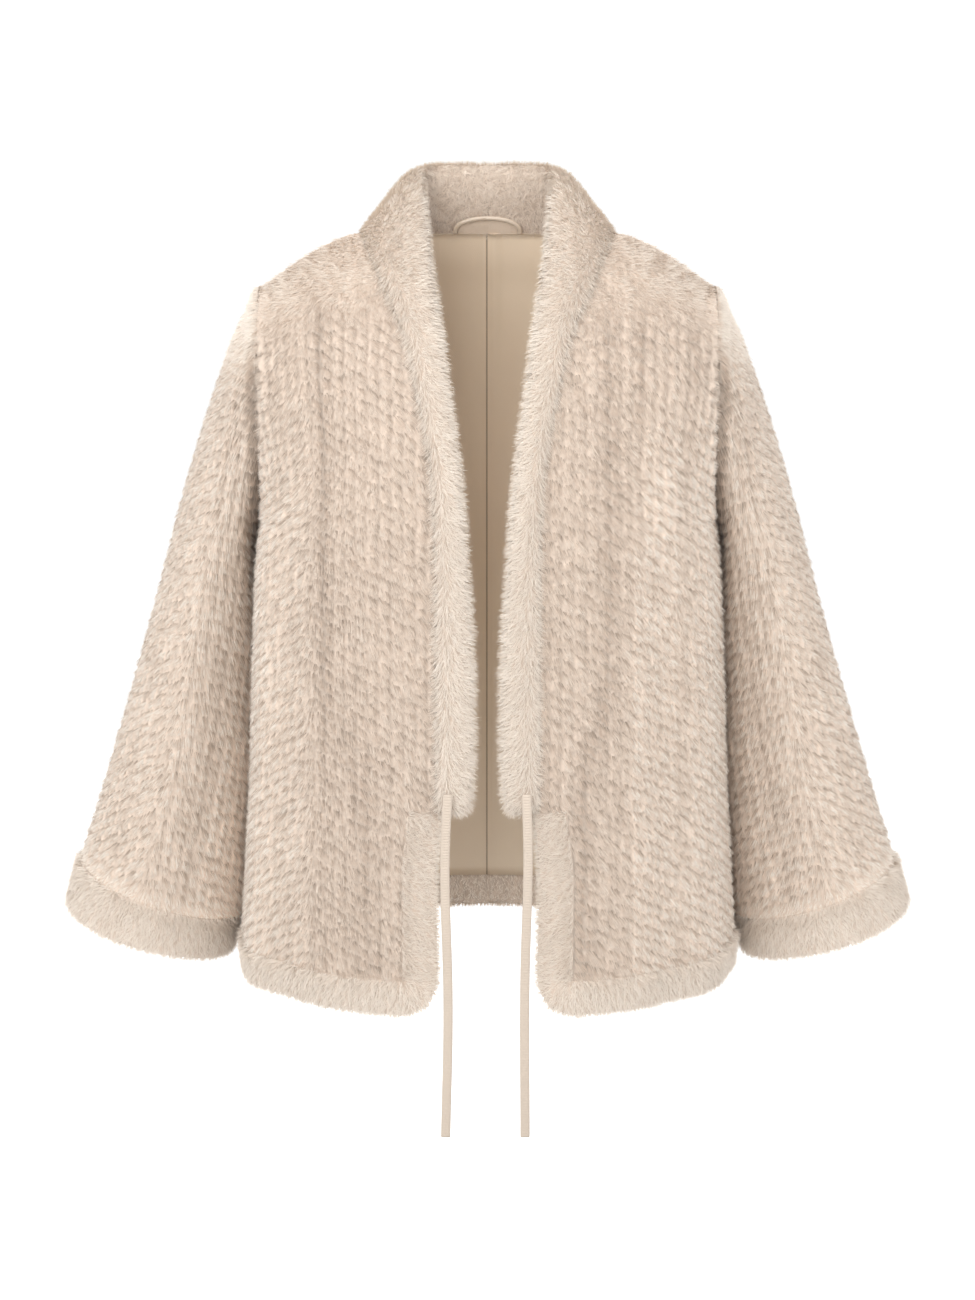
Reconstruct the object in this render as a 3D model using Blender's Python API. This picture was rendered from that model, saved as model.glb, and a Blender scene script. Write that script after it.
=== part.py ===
"""A short, open jacket of knitted fur with a plush shawl band, standing hollow as if worn.

Metres, +Z up, the front faces -Y and +X is to the right of someone facing the front. The origin is at the
back of the neck opening, where the collar is sewn to the back. Every panel is a wall cut from one of three
smooth surfaces (front, back, sleeve), so that neighbours share their seam and stay a hair apart along it.
"""

import math

import bpy
import numpy as np
from mathutils import Vector

# ---------------------------------------------------------------- driving dimensions (metres)
SEAM_GAP = 0.0003  # between pieces at a seam
KNIT_WALL = 0.012  # knitted fur with its pile, panels and sleeves
PLUSH_WALL = 0.016  # the denser borders
BORDER_PROUD = 0.0015  # how far a border stands out of the knit beside it
BAND_THICKNESS = 0.025  # the rolled shawl band
PANEL_BELOW_BAND = 0.004  # the panel's face above the band's middle, at their seam

HEM_FRONT = -0.641  # height of the hem at the front edges
HEM_SIDE = -0.634
HEM_BACK = -0.617
UNDERARM = -0.240  # height of the bottom of the armhole
FRONT_EDGE_BORDER = 0.024  # width of the plush strip along each front edge, without its rounded rim
FRONT_EDGE = 0.0485  # half the gap between the two fronts, without their rounded rims
NECK_COLUMNS = 5  # columns of the half back under the collar
SHOULDER_COLUMNS = 10  # columns along the shoulder seam
ARMHOLE_ROWS = 11  # rows between the underarm and the shoulder

# Heights of the rows above the hem, up to the underarm. Row 1 is the top of the hem border and row
# NOTCH_ROW the lower end of the shawl band.
ROW_HEIGHTS = (0.0, 0.026, 0.073, 0.123, 0.174, 0.220, 0.266, 0.312, 0.357, 0.401)
NOTCH_ROW = 4

# Horizontal sections of the body, from hem to underarm: the front edge's depth, the side seam's place, the
# widest place's control (how far the front bulges over the sleeve), and the back's depth at the middle.
#              height  edge_y   side_x  side_y  bulge_x  bulge_y  back_y
BODY_SECTIONS = (
    (-0.643, -0.1700, 0.2095, 0.034, 0.2560, -0.062, 0.130),
    (-0.560, -0.1695, 0.2070, 0.032, 0.2450, -0.074, 0.129),
    (-0.467, -0.1685, 0.2030, 0.030, 0.2360, -0.080, 0.128),
    (-0.360, -0.1680, 0.1985, 0.027, 0.2260, -0.085, 0.127),
    (-0.280, -0.1660, 0.1955, 0.022, 0.2200, -0.088, 0.127),
    (-0.240, -0.1640, 0.1945, 0.018, 0.2095, -0.090, 0.127),
)
FRONT_REACH = 0.118  # how far the front stays flat before it turns to the side
ROLL_IN = (0.35, 0.92, -0.05)  # the way the front's face runs where the sleeve leaves the armhole
SIDE_INWARD = (-0.90, -0.436, 0.0)  # the way into the wall along the side seam
SHOULDER_CROWN = 0.006  # how far the shoulder seam rises over a straight line
BACK_REACH = 0.120
BACK_SIDE_REACH = 0.070
UNDERARM_LEAVES = (-0.06, 0.998, 0.0)  # the way the back leaves the side at the underarm
UNDERARM_REACH = 0.100
BACK_BLEND = (1.0, 2.4, 1.6)  # how closely the back's faces above the underarm follow the armhole

# The armhole, an upright oval that the sleeve is set into.
ARMHOLE_TOP = (0.1970, 0.006, -0.0400)
ARMHOLE_BOTTOM = (0.1945, 0.018, -0.2400)
ARMHOLE_HALF_DEPTH = 0.086

# The seam between the panels and the shawl band, from the band's lower end up and round to the middle of
# the back neck, with the place of the band's free edge beside it.
#              seam_x  seam_y   seam_z   edge_x  edge_y   edge_z
BAND_SECTIONS = (
    (0.0428, -0.1670, -0.4670, 0.0115, -0.1690, -0.4670),
    (0.0428, -0.1670, -0.4000, 0.0095, -0.1700, -0.4000),
    (0.0428, -0.1665, -0.3300, 0.0105, -0.1700, -0.3300),
    (0.0430, -0.1650, -0.2620, 0.0146, -0.1690, -0.2620),
    (0.0445, -0.1620, -0.2100, 0.0185, -0.1660, -0.2080),
    (0.0485, -0.1550, -0.1630, 0.0235, -0.1600, -0.1600),
    (0.0600, -0.1400, -0.1070, 0.0320, -0.1440, -0.1020),
    (0.0705, -0.1200, -0.0660, 0.0390, -0.1230, -0.0600),
    (0.0840, -0.0960, -0.0400, 0.0460, -0.0970, -0.0260),
    (0.0965, -0.0600, -0.0150, 0.0505, -0.0620, 0.0080),
    (0.1035, -0.0250, -0.0020, 0.0535, -0.0260, 0.0320),
    (0.1040, 0.0050, 0.0010, 0.0550, 0.0020, 0.0430),
    (0.0950, 0.0360, 0.0010, 0.0560, 0.0260, 0.0520),
    (0.0730, 0.0650, 0.0000, 0.0540, 0.0500, 0.0590),
    (0.0400, 0.0780, 0.0000, 0.0330, 0.0640, 0.0610),
    (0.0000, 0.0820, 0.0000, 0.0000, 0.0690, 0.0600),
)
NECK_POINT_SECTION = 10.6  # where on that seam the shoulder seam starts
BAND_END_SHRINK = ((0.55, 0.70), (0.85, 0.92))  # width and thickness of the rounded lower end
BAND_END_LENGTHS = (0.0, 0.010)

# The sleeve, from armhole to wrist: its outer and inner lines as seen from the front, its middle's depth
# and its half depth.
#             outer_x  outer_z  inner_x  inner_z  mid_y  half_depth
SLEEVE_SECTIONS = (
    (0.1970, -0.0410, 0.1945, -0.2400, 0.012, 0.086),
    (0.2085, -0.0560, 0.2040, -0.2580, 0.014, 0.084),
    (0.2235, -0.0860, 0.2050, -0.2850, 0.018, 0.081),
    (0.2375, -0.1270, 0.2045, -0.3130, 0.022, 0.079),
    (0.2530, -0.1720, 0.2040, -0.3430, 0.026, 0.077),
    (0.2680, -0.2220, 0.2048, -0.3760, 0.029, 0.076),
    (0.2825, -0.2750, 0.2065, -0.4120, 0.031, 0.075),
    (0.2980, -0.3320, 0.2085, -0.4500, 0.032, 0.074),
    (0.3135, -0.3870, 0.2115, -0.4870, 0.032, 0.073),
    (0.3295, -0.4400, 0.2145, -0.5220, 0.032, 0.072),
    (0.3445, -0.4900, 0.2175, -0.5570, 0.032, 0.072),
    (0.3655, -0.5520, 0.2210, -0.6010, 0.032, 0.073),
    (0.3795, -0.5885, 0.2235, -0.6310, 0.032, 0.074),
)
CUFF_SECTION = 11  # the cuff's border starts here
CUFF_FRONT_DROP = 0.009  # the front of the cuff hangs lower than its middle
SLEEVE_INTO_ARMHOLE = 0.0006  # clear of the panels' armhole edges

# Soft upright folds, as (place, width, height): place and width are shares of the way round from the
# panel's inner edge to its side, and the height is out (+) or in (-) in metres.
LEFT_FRONT_FOLDS = ((0.47, 0.07, -0.0045), (0.60, 0.08, 0.0045), (0.80, 0.08, -0.0030))
RIGHT_FRONT_FOLDS = ((0.42, 0.06, -0.0040), (0.54, 0.07, 0.0045), (0.72, 0.07, -0.0035))
BACK_FOLDS = ((0.22, 0.08, -0.0030), (0.40, 0.09, 0.0040), (0.62, 0.09, -0.0040))
SLEEVE_FOLDS = ((0.30, 0.06, 0.0035), (0.19, 0.05, -0.0030), (0.72, 0.08, 0.0030))

LINING_THICKNESS = 0.0015
LINING_CLEAR = 0.0006
LINING_BELOW_SEAM = 0.10  # how much of the top row the lining leaves out under the collar and shoulders

# The hanger loop, an arch of satin cord at the back of the neck, over a half-moon of smooth cloth.
LOOP_SPAN = 0.057  # between the middles of its feet
LOOP_RISE = 0.0150
LOOP_FOOT = 0.004  # height of its feet over the collar's seam
LOOP_RADIUS = 0.0024
LOOP_CLEAR = 0.0005
PATCH_THICKNESS = 0.0012

# The ties, flat cords as wide as TIE_WIDTH, with their routes from the band's face down to the bare ends.
TIE_WIDTH = 0.008
TIE_POINTS = 40
TIE_FACE_Y = -0.1840
LEFT_TIE_ROUTE = (
    (-0.0334, TIE_FACE_Y, -0.4480),
    (-0.0337, -0.1846, -0.4560),
    (-0.0342, -0.1848, -0.4640),
    (-0.0348, -0.1846, -0.4740),
    (-0.0353, -0.1842, -0.4860),
    (-0.0357, -0.1836, -0.5000),
    (-0.0359, -0.1829, -0.5160),
    (-0.0358, -0.1821, -0.5330),
    (-0.0354, -0.1814, -0.5510),
    (-0.0348, -0.1808, -0.5700),
    (-0.0342, -0.1803, -0.5900),
    (-0.0337, -0.1800, -0.6110),
    (-0.0335, -0.1799, -0.6330),
    (-0.0336, -0.1799, -0.6560),
    (-0.0340, -0.1800, -0.6800),
    (-0.0346, -0.1801, -0.7030),
    (-0.0352, -0.1802, -0.7260),
    (-0.0358, -0.1803, -0.7490),
)
RIGHT_TIE_ROUTE = (
    (0.0327, TIE_FACE_Y, -0.4480),
    (0.0330, -0.1846, -0.4560),
    (0.0333, -0.1848, -0.4640),
    (0.0336, -0.1846, -0.4740),
    (0.0339, -0.1842, -0.4860),
    (0.0341, -0.1836, -0.5000),
    (0.0341, -0.1829, -0.5160),
    (0.0338, -0.1821, -0.5330),
    (0.0333, -0.1814, -0.5510),
    (0.0327, -0.1808, -0.5700),
    (0.0321, -0.1803, -0.5900),
    (0.0317, -0.1800, -0.6110),
    (0.0315, -0.1799, -0.6330),
    (0.0315, -0.1799, -0.6560),
    (0.0316, -0.1800, -0.6800),
    (0.0318, -0.1801, -0.7030),
    (0.0320, -0.1802, -0.7260),
    (0.0321, -0.1803, -0.7490),
)

MATERIALS = {
    "knit_fur": ((0.78, 0.66, 0.54, 1.0), 0.85),
    "plush_fur": ((0.84, 0.73, 0.61, 1.0), 0.80),
    "lining_satin": ((0.66, 0.54, 0.41, 1.0), 0.35),
    "satin_cord": ((0.72, 0.60, 0.47, 1.0), 0.30),
    "woven_tie": ((0.74, 0.65, 0.54, 1.0), 0.55),
}


# ---------------------------------------------------------------- scene helpers
for old in list(bpy.data.objects):
    bpy.data.objects.remove(old, do_unlink=True)

coat = bpy.data.collections.new("fur_jacket")
bpy.context.scene.collection.children.link(coat)


def material(name):
    """The Principled material of that name, made the first time it is asked for."""
    found = bpy.data.materials.get(name)
    if found:
        return found
    colour, roughness = MATERIALS[name]
    made = bpy.data.materials.new(name)
    made.use_nodes = True
    shader = made.node_tree.nodes["Principled BSDF"]
    shader.inputs["Base Color"].default_value = colour
    shader.inputs["Roughness"].default_value = roughness
    shader.inputs["Metallic"].default_value = 0.0
    return made


def add_piece(name, points, faces, finish):
    """A named mesh object in the coat's collection, shaded smooth but for its sharp edges."""
    mesh = bpy.data.meshes.new(name)
    mesh.from_pydata([tuple(p) for p in points], [], faces)
    mesh.update()
    mesh.shade_smooth()
    mesh.set_sharp_from_angle(angle=math.radians(50))
    mesh.materials.append(material(finish))
    piece = bpy.data.objects.new(name, mesh)
    coat.objects.link(piece)
    return piece


# ---------------------------------------------------------------- curves and surfaces
def smooth_at(table, place):
    """A Catmull-Rom curve through the rows of a table, read at a row number that may be a fraction."""
    rows = np.asarray(table, float)
    k = min(int(place), len(rows) - 2)
    f = place - k
    before = rows[k - 1] if k > 0 else 2 * rows[0] - rows[1]
    after = rows[k + 2] if k + 2 < len(rows) else 2 * rows[-1] - rows[-2]
    a, b = rows[k], rows[k + 1]
    return 0.5 * (
        2 * a
        + (b - before) * f
        + (2 * before - 5 * a + 4 * b - after) * f**2
        + (3 * a - before - 3 * b + after) * f**3
    )


def body_section(z):
    """The body's section at a height, between the two table rows that it lies between."""
    heights = [row[0] for row in BODY_SECTIONS]
    place = float(np.interp(z, heights, range(len(heights))))
    return smooth_at(BODY_SECTIONS, place)[1:]


def bezier(ends, shares):
    """Points of a cubic Bezier curve at shares of its length."""
    p0, p1, p2, p3 = (np.asarray(p, float) for p in ends)
    t = np.linspace(0, 1, 61)[:, None]
    fine = (1 - t) ** 3 * p0 + 3 * (1 - t) ** 2 * t * p1 + 3 * (1 - t) * t**2 * p2 + t**3 * p3
    run = np.concatenate([[0], np.cumsum(np.linalg.norm(np.diff(fine, axis=0), axis=1))])
    wanted = np.asarray(shares) * run[-1]
    return np.stack([np.interp(wanted, run, fine[:, k]) for k in range(3)], 1)


def unit(v):
    v = np.asarray(v, float)
    return v / np.maximum(np.linalg.norm(v, axis=-1, keepdims=True), 1e-12)


def mixed(a, b, share):
    return np.asarray(a, float) * (1 - share) + np.asarray(b, float) * share


def rows_of_normals(grid):
    """Unit normals of a grid of points, from the way it runs along both of its directions."""
    return unit(np.cross(np.gradient(grid, axis=0), np.gradient(grid, axis=1)))


# The band's seam: one station for each row of the front above the notch, then the back neck's columns.
def seam_places():
    """Row numbers on BAND_SECTIONS of the seam's stations, from the lower end to the middle back."""
    rows = np.asarray(BAND_SECTIONS)
    fine = np.linspace(0, len(rows) - 1, 901)
    along = np.array([smooth_at(BAND_SECTIONS, p)[:3] for p in fine])
    run = np.concatenate([[0], np.cumsum(np.linalg.norm(np.diff(along, axis=0), axis=1))])
    below = [HEM_FRONT + h for h in ROW_HEIGHTS[NOTCH_ROW:]]
    places = [float(np.interp(z, along[:400, 2], fine[:400])) for z in below]
    start = np.interp(places[-1], fine, run)
    neck = np.interp(NECK_POINT_SECTION, fine, run)
    for k in range(1, ARMHOLE_ROWS + 1):
        places.append(float(np.interp(start + (neck - start) * k / ARMHOLE_ROWS, run, fine)))
    for k in range(1, NECK_COLUMNS + 1):
        places.append(float(np.interp(neck + (run[-1] - neck) * k / NECK_COLUMNS, run, fine)))
    return places


SEAM_PLACES = seam_places()
STATIONS = np.array([smooth_at(BAND_SECTIONS, p) for p in SEAM_PLACES])
SEAM, EDGE = STATIONS[:, :3], STATIONS[:, 3:]
ACROSS = unit(EDGE - SEAM)
SEAM_OUT = unit(np.cross(np.gradient(SEAM, axis=0), ACROSS))
ROWS = len(ROW_HEIGHTS) + ARMHOLE_ROWS
UNDERARM_ROW = len(ROW_HEIGHTS) - 1
NECK_STATION = UNDERARM_ROW - NOTCH_ROW + ARMHOLE_ROWS
PANEL_SEAM = SEAM + SEAM_OUT * PANEL_BELOW_BAND


def armhole_point(turn, back):
    """A point of the armhole: turn runs from 0 at the underarm to 1 at the shoulder, by the front or back."""
    top, bottom = np.asarray(ARMHOLE_TOP), np.asarray(ARMHOLE_BOTTOM)
    angle = math.pi * (turn - 0.5)
    middle = (top + bottom) / 2
    place = middle + (top - bottom) / 2 * math.sin(angle)
    side = 1 if back else -1
    place[1] += side * ARMHOLE_HALF_DEPTH * math.cos(angle) ** 0.9
    return place


ARMHOLE_MIDDLE = (np.asarray(ARMHOLE_TOP) + np.asarray(ARMHOLE_BOTTOM)) / 2


def hem_height(share_front_to_back):
    """Height of the hem, from the front edge (0) by the side (0.5) to the middle of the back (1)."""
    return float(np.interp(share_front_to_back, (0, 0.5, 1), (HEM_FRONT, HEM_SIDE, HEM_BACK)))


def row_height(row, share):
    """Height of a row up to the underarm, at a place round the body as hem_height takes it."""
    hem = hem_height(share)
    return hem + ROW_HEIGHTS[row] * (UNDERARM - hem) / (UNDERARM - HEM_FRONT)


def fold_heights(folds, shares):
    """How far the folds lift each column."""
    lift = np.zeros(len(shares))
    for place, width, height in folds:
        lift += height * np.exp(-(((np.asarray(shares) - place) / width) ** 2))
    return lift


def with_folds(grid, folds, shares, top_row):
    """The grid moved out along its normals by its folds, which fade out towards top_row."""
    rows = np.arange(grid.shape[1])
    fade = np.clip((top_row - rows) / 7.0, 0, 1)
    ends = np.sin(np.pi * np.clip(np.asarray(shares), 0, 1)) ** 0.5
    lift = (fold_heights(folds, shares) * ends)[:, None] * fade[None, :]
    return grid + rows_of_normals(grid) * lift[:, :, None]


def front_grid(folds):
    """The right front's outer face: columns from its inner edge to the side, rows from hem to shoulder."""
    columns = []
    for row in range(ROWS):
        if row <= UNDERARM_ROW:
            edge_y, side_x, side_y, bulge_x, bulge_y, _ = body_section(row_height(row, 0))
            start = np.array([FRONT_EDGE, edge_y, row_height(row, 0)])
            if row >= NOTCH_ROW:
                start = PANEL_SEAM[row - NOTCH_ROW]
            end = np.array([side_x, side_y, row_height(row, 0.5)])
            first = start + (FRONT_REACH, 0, 0)
            last = np.array([bulge_x, bulge_y, end[2]])
        else:
            turn = (row - UNDERARM_ROW) / ARMHOLE_ROWS
            start = PANEL_SEAM[row - NOTCH_ROW]
            end = armhole_point(turn, back=False)
            slope = unit(end - start)
            leave = unit(mixed((1, 0, 0), slope, turn**1.5))
            arrive = unit(mixed(ROLL_IN, slope, np.clip((turn - 0.5) / 0.5, 0, 1)))
            span = np.linalg.norm(end - start)
            first = start + leave * mixed(FRONT_REACH, span / 3, min(turn / 0.5, 1))
            first[2] += SHOULDER_CROWN * turn**3
            bulge = np.array([*body_section(UNDERARM)[3:5], end[2]])
            fade = np.clip((turn - 0.05) / 0.65, 0, 1)
            last = mixed(bulge, end - arrive * span / 3.2, fade**2 * (3 - 2 * fade))
            last[2] += SHOULDER_CROWN * turn**3
        count = SHOULDER_COLUMNS
        length = np.linalg.norm(bezier((start, first, last, end), [1])[0] - start)
        strip = FRONT_EDGE_BORDER / max(length * 1.15, 0.09)
        shares = [0.0] + list(np.linspace(strip, 1, count))
        columns.append(bezier((start, first, last, end), shares))
    grid = np.array(columns).transpose(1, 0, 2)
    grid = with_folds(grid, folds, np.linspace(0, 1, grid.shape[0]), UNDERARM_ROW + 5)
    grid[0, 0] += (0.008, 0.0, 0.007)
    return grid


def back_grid():
    """The right half of the back's outer face: columns from the middle to the side, rows as the front's."""
    shares = list(np.linspace(0, 0.42, NECK_COLUMNS + 1))
    shares += list(np.linspace(0.42, 1, SHOULDER_COLUMNS + 1))[1:]
    top_neck = PANEL_SEAM[NECK_STATION:][::-1]
    top_shoulder = FRONT_TOP_ROW[1:]
    top = np.concatenate([top_neck, top_shoulder])
    columns = []
    for row in range(UNDERARM_ROW + 1):
        _, side_x, side_y, _, _, back_y = body_section(row_height(row, 0))
        start = np.array([0.0, back_y, row_height(row, 1)])
        end = np.array([side_x, side_y, row_height(row, 0.5)])
        rise = (row / UNDERARM_ROW) ** 2
        leave = unit(mixed(np.array((-0.49, 0.87, 0)), np.array(UNDERARM_LEAVES), rise))
        first = start + (BACK_REACH, 0, 0)
        last = end + leave * mixed(BACK_SIDE_REACH, UNDERARM_REACH, rise)
        columns.append(bezier((start, first, last, end), shares))
    low = columns[-1]
    across = np.array(shares)[:, None] ** BACK_BLEND
    for row in range(UNDERARM_ROW + 1, ROWS):
        turn = (row - UNDERARM_ROW) / ARMHOLE_ROWS
        up = np.array([turn, turn**BACK_BLEND[1], turn])
        middle = mixed(low[0], top[0], np.array([turn, turn**2.2, turn**0.96]))
        edge = armhole_point(turn, back=True)
        line = mixed(low, top, up)
        ends = mixed(middle, edge, across)
        corners = mixed(mixed(low[0], top[0], up), mixed(low[-1], top[-1], up), across)
        columns.append(line + ends - corners)
    grid = np.array(columns).transpose(1, 0, 2)
    return with_folds(grid, BACK_FOLDS, shares, UNDERARM_ROW + 5)


FRONT_TOP_ROW = front_grid(())[:, -1]


def inward(grid, back):
    """The way from the outer face into the wall. At the armhole it points to the armhole's middle and
    at the band's seam straight through the band, so that what is sewn there meets it squarely."""
    ways = rows_of_normals(grid)
    if np.mean(ways[:, :UNDERARM_ROW, 1]) * (1 if back else -1) > 0:
        ways = -ways
    ways[-1, : UNDERARM_ROW + 1] = SIDE_INWARD
    last = ways.shape[0] - 1
    first_shoulder = NECK_COLUMNS if back else 0
    for column in range(first_shoulder, last + 1):
        ways[column, -1] = (-0.3, 0, -0.95)
    if back:
        ways[: NECK_COLUMNS + 1, -1] = -SEAM_OUT[NECK_STATION:][::-1]
    else:
        ways[0, NOTCH_ROW:] = -SEAM_OUT[: NECK_STATION + 1]
    for row in range(UNDERARM_ROW, ROWS):
        middle = ARMHOLE_MIDDLE.copy()
        ways[-1, row] = middle - grid[-1, row]
        ways[-1, row, 0] = 0
    return unit(ways)


# ---------------------------------------------------------------- walls
def rim_order(p):
    """A fixed order along any seam, the same from both of its sides."""
    return abs(p[0]) + 3 * p[2] + 7 * p[1]


def wall(name, outer, inner, cells, finish, free=None, closed=False):
    """A closed wall between two grids of points, over the cells given as (column, row). Its rim is square
    at seams and rounded where free(column, row) says that both ends of an edge are on a free edge. Seam
    and free edges alike draw in by a hair, which keeps neighbours apart."""
    columns = outer.shape[0]
    cells = set(cells)
    corners = {}

    def key(i, j):
        return (i % columns if closed else i, j)

    for i, j in cells:
        for di, dj in ((0, 0), (1, 0), (1, 1), (0, 1)):
            corners.setdefault(key(i + di, j + dj), []).append((i, j))
    edges = {}
    for i, j in cells:
        loop = [key(i, j), key(i + 1, j), key(i + 1, j + 1), key(i, j + 1)]
        for a, b in zip(loop, loop[1:] + loop[:1]):
            edges[(a, b)] = (i, j)
    rim = [(a, b) for (a, b) in edges if (b, a) not in edges]
    on_rim = {k for edge in rim for k in edge}
    points, index = [], {}
    for k, owners in corners.items():
        shift = np.zeros(3)
        if k in on_rim:
            around = [
                outer[key(i + di, j + dj)]
                for i, j in owners
                for di, dj in ((0, 0), (1, 0), (1, 1), (0, 1))
            ]
            shift = unit(np.mean(around, axis=0) - outer[k]) * SEAM_GAP
        index[k] = len(points)
        points += [outer[k] + shift, inner[k] + shift]
    middles = {}
    faces = []
    for i, j in cells:
        a, b, c, d = (index[key(i + di, j + dj)] for di, dj in ((0, 0), (1, 0), (1, 1), (0, 1)))
        faces += [(a, b, c), (a, c, d), (c + 1, b + 1, a + 1), (d + 1, c + 1, a + 1)]

    def middle(k, towards):
        if k not in middles:
            a, b = points[index[k]], points[index[k] + 1]
            middles[k] = len(points)
            points.append((a + b) / 2 + towards * np.linalg.norm(a - b) * 0.38)
        return middles[k]

    away = {}
    for a, b in rim:
        if not (free and free(*a) and free(*b)):
            continue
        i, j = edges[(a, b)]
        inside = np.mean([outer[key(i + di, j + dj)] for di, dj in ((0, 0), (1, 0), (1, 1), (0, 1))], axis=0)
        along = unit(outer[b] - outer[a])
        out = (outer[a] + outer[b]) / 2 - inside
        out = unit(out - along * out.dot(along))
        for k in (a, b):
            away[k] = away.get(k, 0) + out
    for a, b in rim:
        oa, ob = index[a], index[b]
        if free and free(*a) and free(*b):
            ma, mb = middle(a, unit(away[a])), middle(b, unit(away[b]))
            faces += [(ob, oa, ma, mb), (mb, ma, oa + 1, ob + 1)]
        elif rim_order(outer[a]) < rim_order(outer[b]):
            faces += [(ob, oa, ob + 1), (ob + 1, oa, oa + 1)]
        else:
            faces += [(ob, oa, oa + 1), (ob + 1, ob, oa + 1)]
    if free:
        for k in middles:
            neighbours = [e for e in rim if k in e]
            for a, b in neighbours:
                if not (free(*a) and free(*b)):
                    faces = split_square_rim(faces, index[k], middles[k])
    return name, points, faces, finish


def split_square_rim(faces, vertex, middle):
    """Lets a square rim that starts where a rounded one ends use the rounded one's middle point."""
    result = []
    for face in faces:
        pair = {vertex, vertex + 1}
        if len(face) == 3 and pair <= set(face):
            at = [k for k in range(3) if face[k] in pair and face[(k + 1) % 3] in pair][0]
            a, b, c = face[at], face[(at + 1) % 3], face[(at + 2) % 3]
            result += [(a, middle, c), (middle, b, c)]
        else:
            result.append(face)
    return result


def add_wall(side, made):
    """Adds a wall made for the right side, as it is or mirrored to the left."""
    name, points, faces, finish = made
    points = [np.asarray(p) for p in points]
    if side < 0:
        points = [p * (-1, 1, 1) for p in points]
        faces = [tuple(reversed(f)) for f in faces]
    mesh_points = [Vector(p) for p in points]
    piece = add_piece(name, mesh_points, faces, finish)
    flip_if_inside_out(piece)
    return piece


def flip_if_inside_out(piece):
    """Turns a mesh's faces round if they point into it."""
    mesh = piece.data
    mesh.calc_loop_triangles()
    volume = 0.0
    for tri in mesh.loop_triangles:
        a, b, c = (mesh.vertices[v].co for v in tri.vertices)
        volume += a.dot(b.cross(c))
    if volume < 0:
        mesh.flip_normals()


def faces_of_body(grid, back, thick, proud=0.0):
    """The outer and inner points of a wall on a grid."""
    ways = inward(grid, back)
    outer = grid - ways * proud
    return outer, grid + ways * thick


# ---------------------------------------------------------------- fronts and their borders
def build_front(side):
    label = "right" if side > 0 else "left"
    grid = front_grid(RIGHT_FRONT_FOLDS if side > 0 else LEFT_FRONT_FOLDS)
    columns, rows = grid.shape[0] - 1, grid.shape[1] - 1
    border = {(i, 0) for i in range(columns)} | {(0, j) for j in range(NOTCH_ROW)}
    panel = {(i, j) for i in range(columns) for j in range(rows)} - border
    outer, inner = faces_of_body(grid, False, KNIT_WALL)
    add_wall(side, wall(f"front_{label}", outer, inner, panel, "knit_fur"))
    outer, inner = faces_of_body(grid, False, PLUSH_WALL - BORDER_PROUD, BORDER_PROUD)

    def free(i, j):
        return j == 0 or (i == 0 and j < NOTCH_ROW)

    add_wall(side, wall(f"front_border_{label}", outer, inner, border, "plush_fur", free))


# ---------------------------------------------------------------- back, its border and its lining
def whole_back():
    """The back's grid from left to right, mirrored about the middle, with its inward ways."""
    half = back_grid()
    ways = inward(half, True)
    ways[0] = unit(ways[0] * (0, 1, 1))
    mirror = np.array((-1.0, 1.0, 1.0))
    grid = np.concatenate([half[::-1] * mirror, half[1:]])
    return grid, np.concatenate([ways[::-1] * mirror, ways[1:]])


def build_back():
    grid, ways = whole_back()
    columns, rows = grid.shape[0] - 1, grid.shape[1] - 1
    border = {(i, 0) for i in range(columns)}
    panel = {(i, j) for i in range(columns) for j in range(1, rows)}
    inner = grid + ways * KNIT_WALL
    add_wall(1, wall("back", grid, inner, panel, "knit_fur"))
    outer = grid - ways * BORDER_PROUD
    deep = grid + ways * (PLUSH_WALL - BORDER_PROUD)
    add_wall(1, wall("back_hem_border", outer, deep, border, "plush_fur", lambda i, j: j == 0))
    clear = np.full((1, rows + 1, 1), LINING_CLEAR)
    clear[:, -2:] *= 4
    near = grid + ways * (KNIT_WALL + clear)
    near[:, -1] = mixed(near[:, -1], near[:, -2], LINING_BELOW_SEAM)
    far = near + ways * LINING_THICKNESS
    lining = {(i, j) for i in range(1, columns - 1) for j in range(1, rows)}
    add_wall(1, wall("lining_back", near, far, lining, "lining_satin"))


# ---------------------------------------------------------------- sleeves and cuffs
def sleeve_grid():
    """The right sleeve's outer face: columns round it from the underarm by the front, rows down to the
    wrist. The first row lies along the armhole."""
    rings = []
    around = 2 * ARMHOLE_ROWS
    for row, section in enumerate(SLEEVE_SECTIONS):
        outer_x, outer_z, inner_x, inner_z, mid_y, half_depth = section
        outer, inner = np.array([outer_x, mid_y, outer_z]), np.array([inner_x, mid_y, inner_z])
        middle, half = (outer + inner) / 2, (outer - inner) / 2
        drop = CUFF_FRONT_DROP * (row / (len(SLEEVE_SECTIONS) - 1)) ** 2
        ring = []
        for k in range(around):
            turn = k / ARMHOLE_ROWS
            back = turn > 1
            if row == 0:
                point = armhole_point(2 - turn if back else turn, back)
            else:
                angle = math.pi * (turn - 0.5)
                point = middle + half * math.sin(angle)
                sway = math.copysign(abs(math.cos(angle)) ** 0.9, math.cos(angle))
                point = point + np.array([0, -half_depth * sway, -drop * max(sway, 0)])
            ring.append(point)
        rings.append(ring)
    grid = np.array(rings).transpose(1, 0, 2)
    grid[:, 0, 0] += SLEEVE_INTO_ARMHOLE
    return grid


def closed_normals(grid):
    """Unit normals of a tube's grid, whose columns go all the way round."""
    around = (np.roll(grid, -1, axis=0) - np.roll(grid, 1, axis=0)) / 2
    return unit(np.cross(around, np.gradient(grid, axis=1)))


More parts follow.
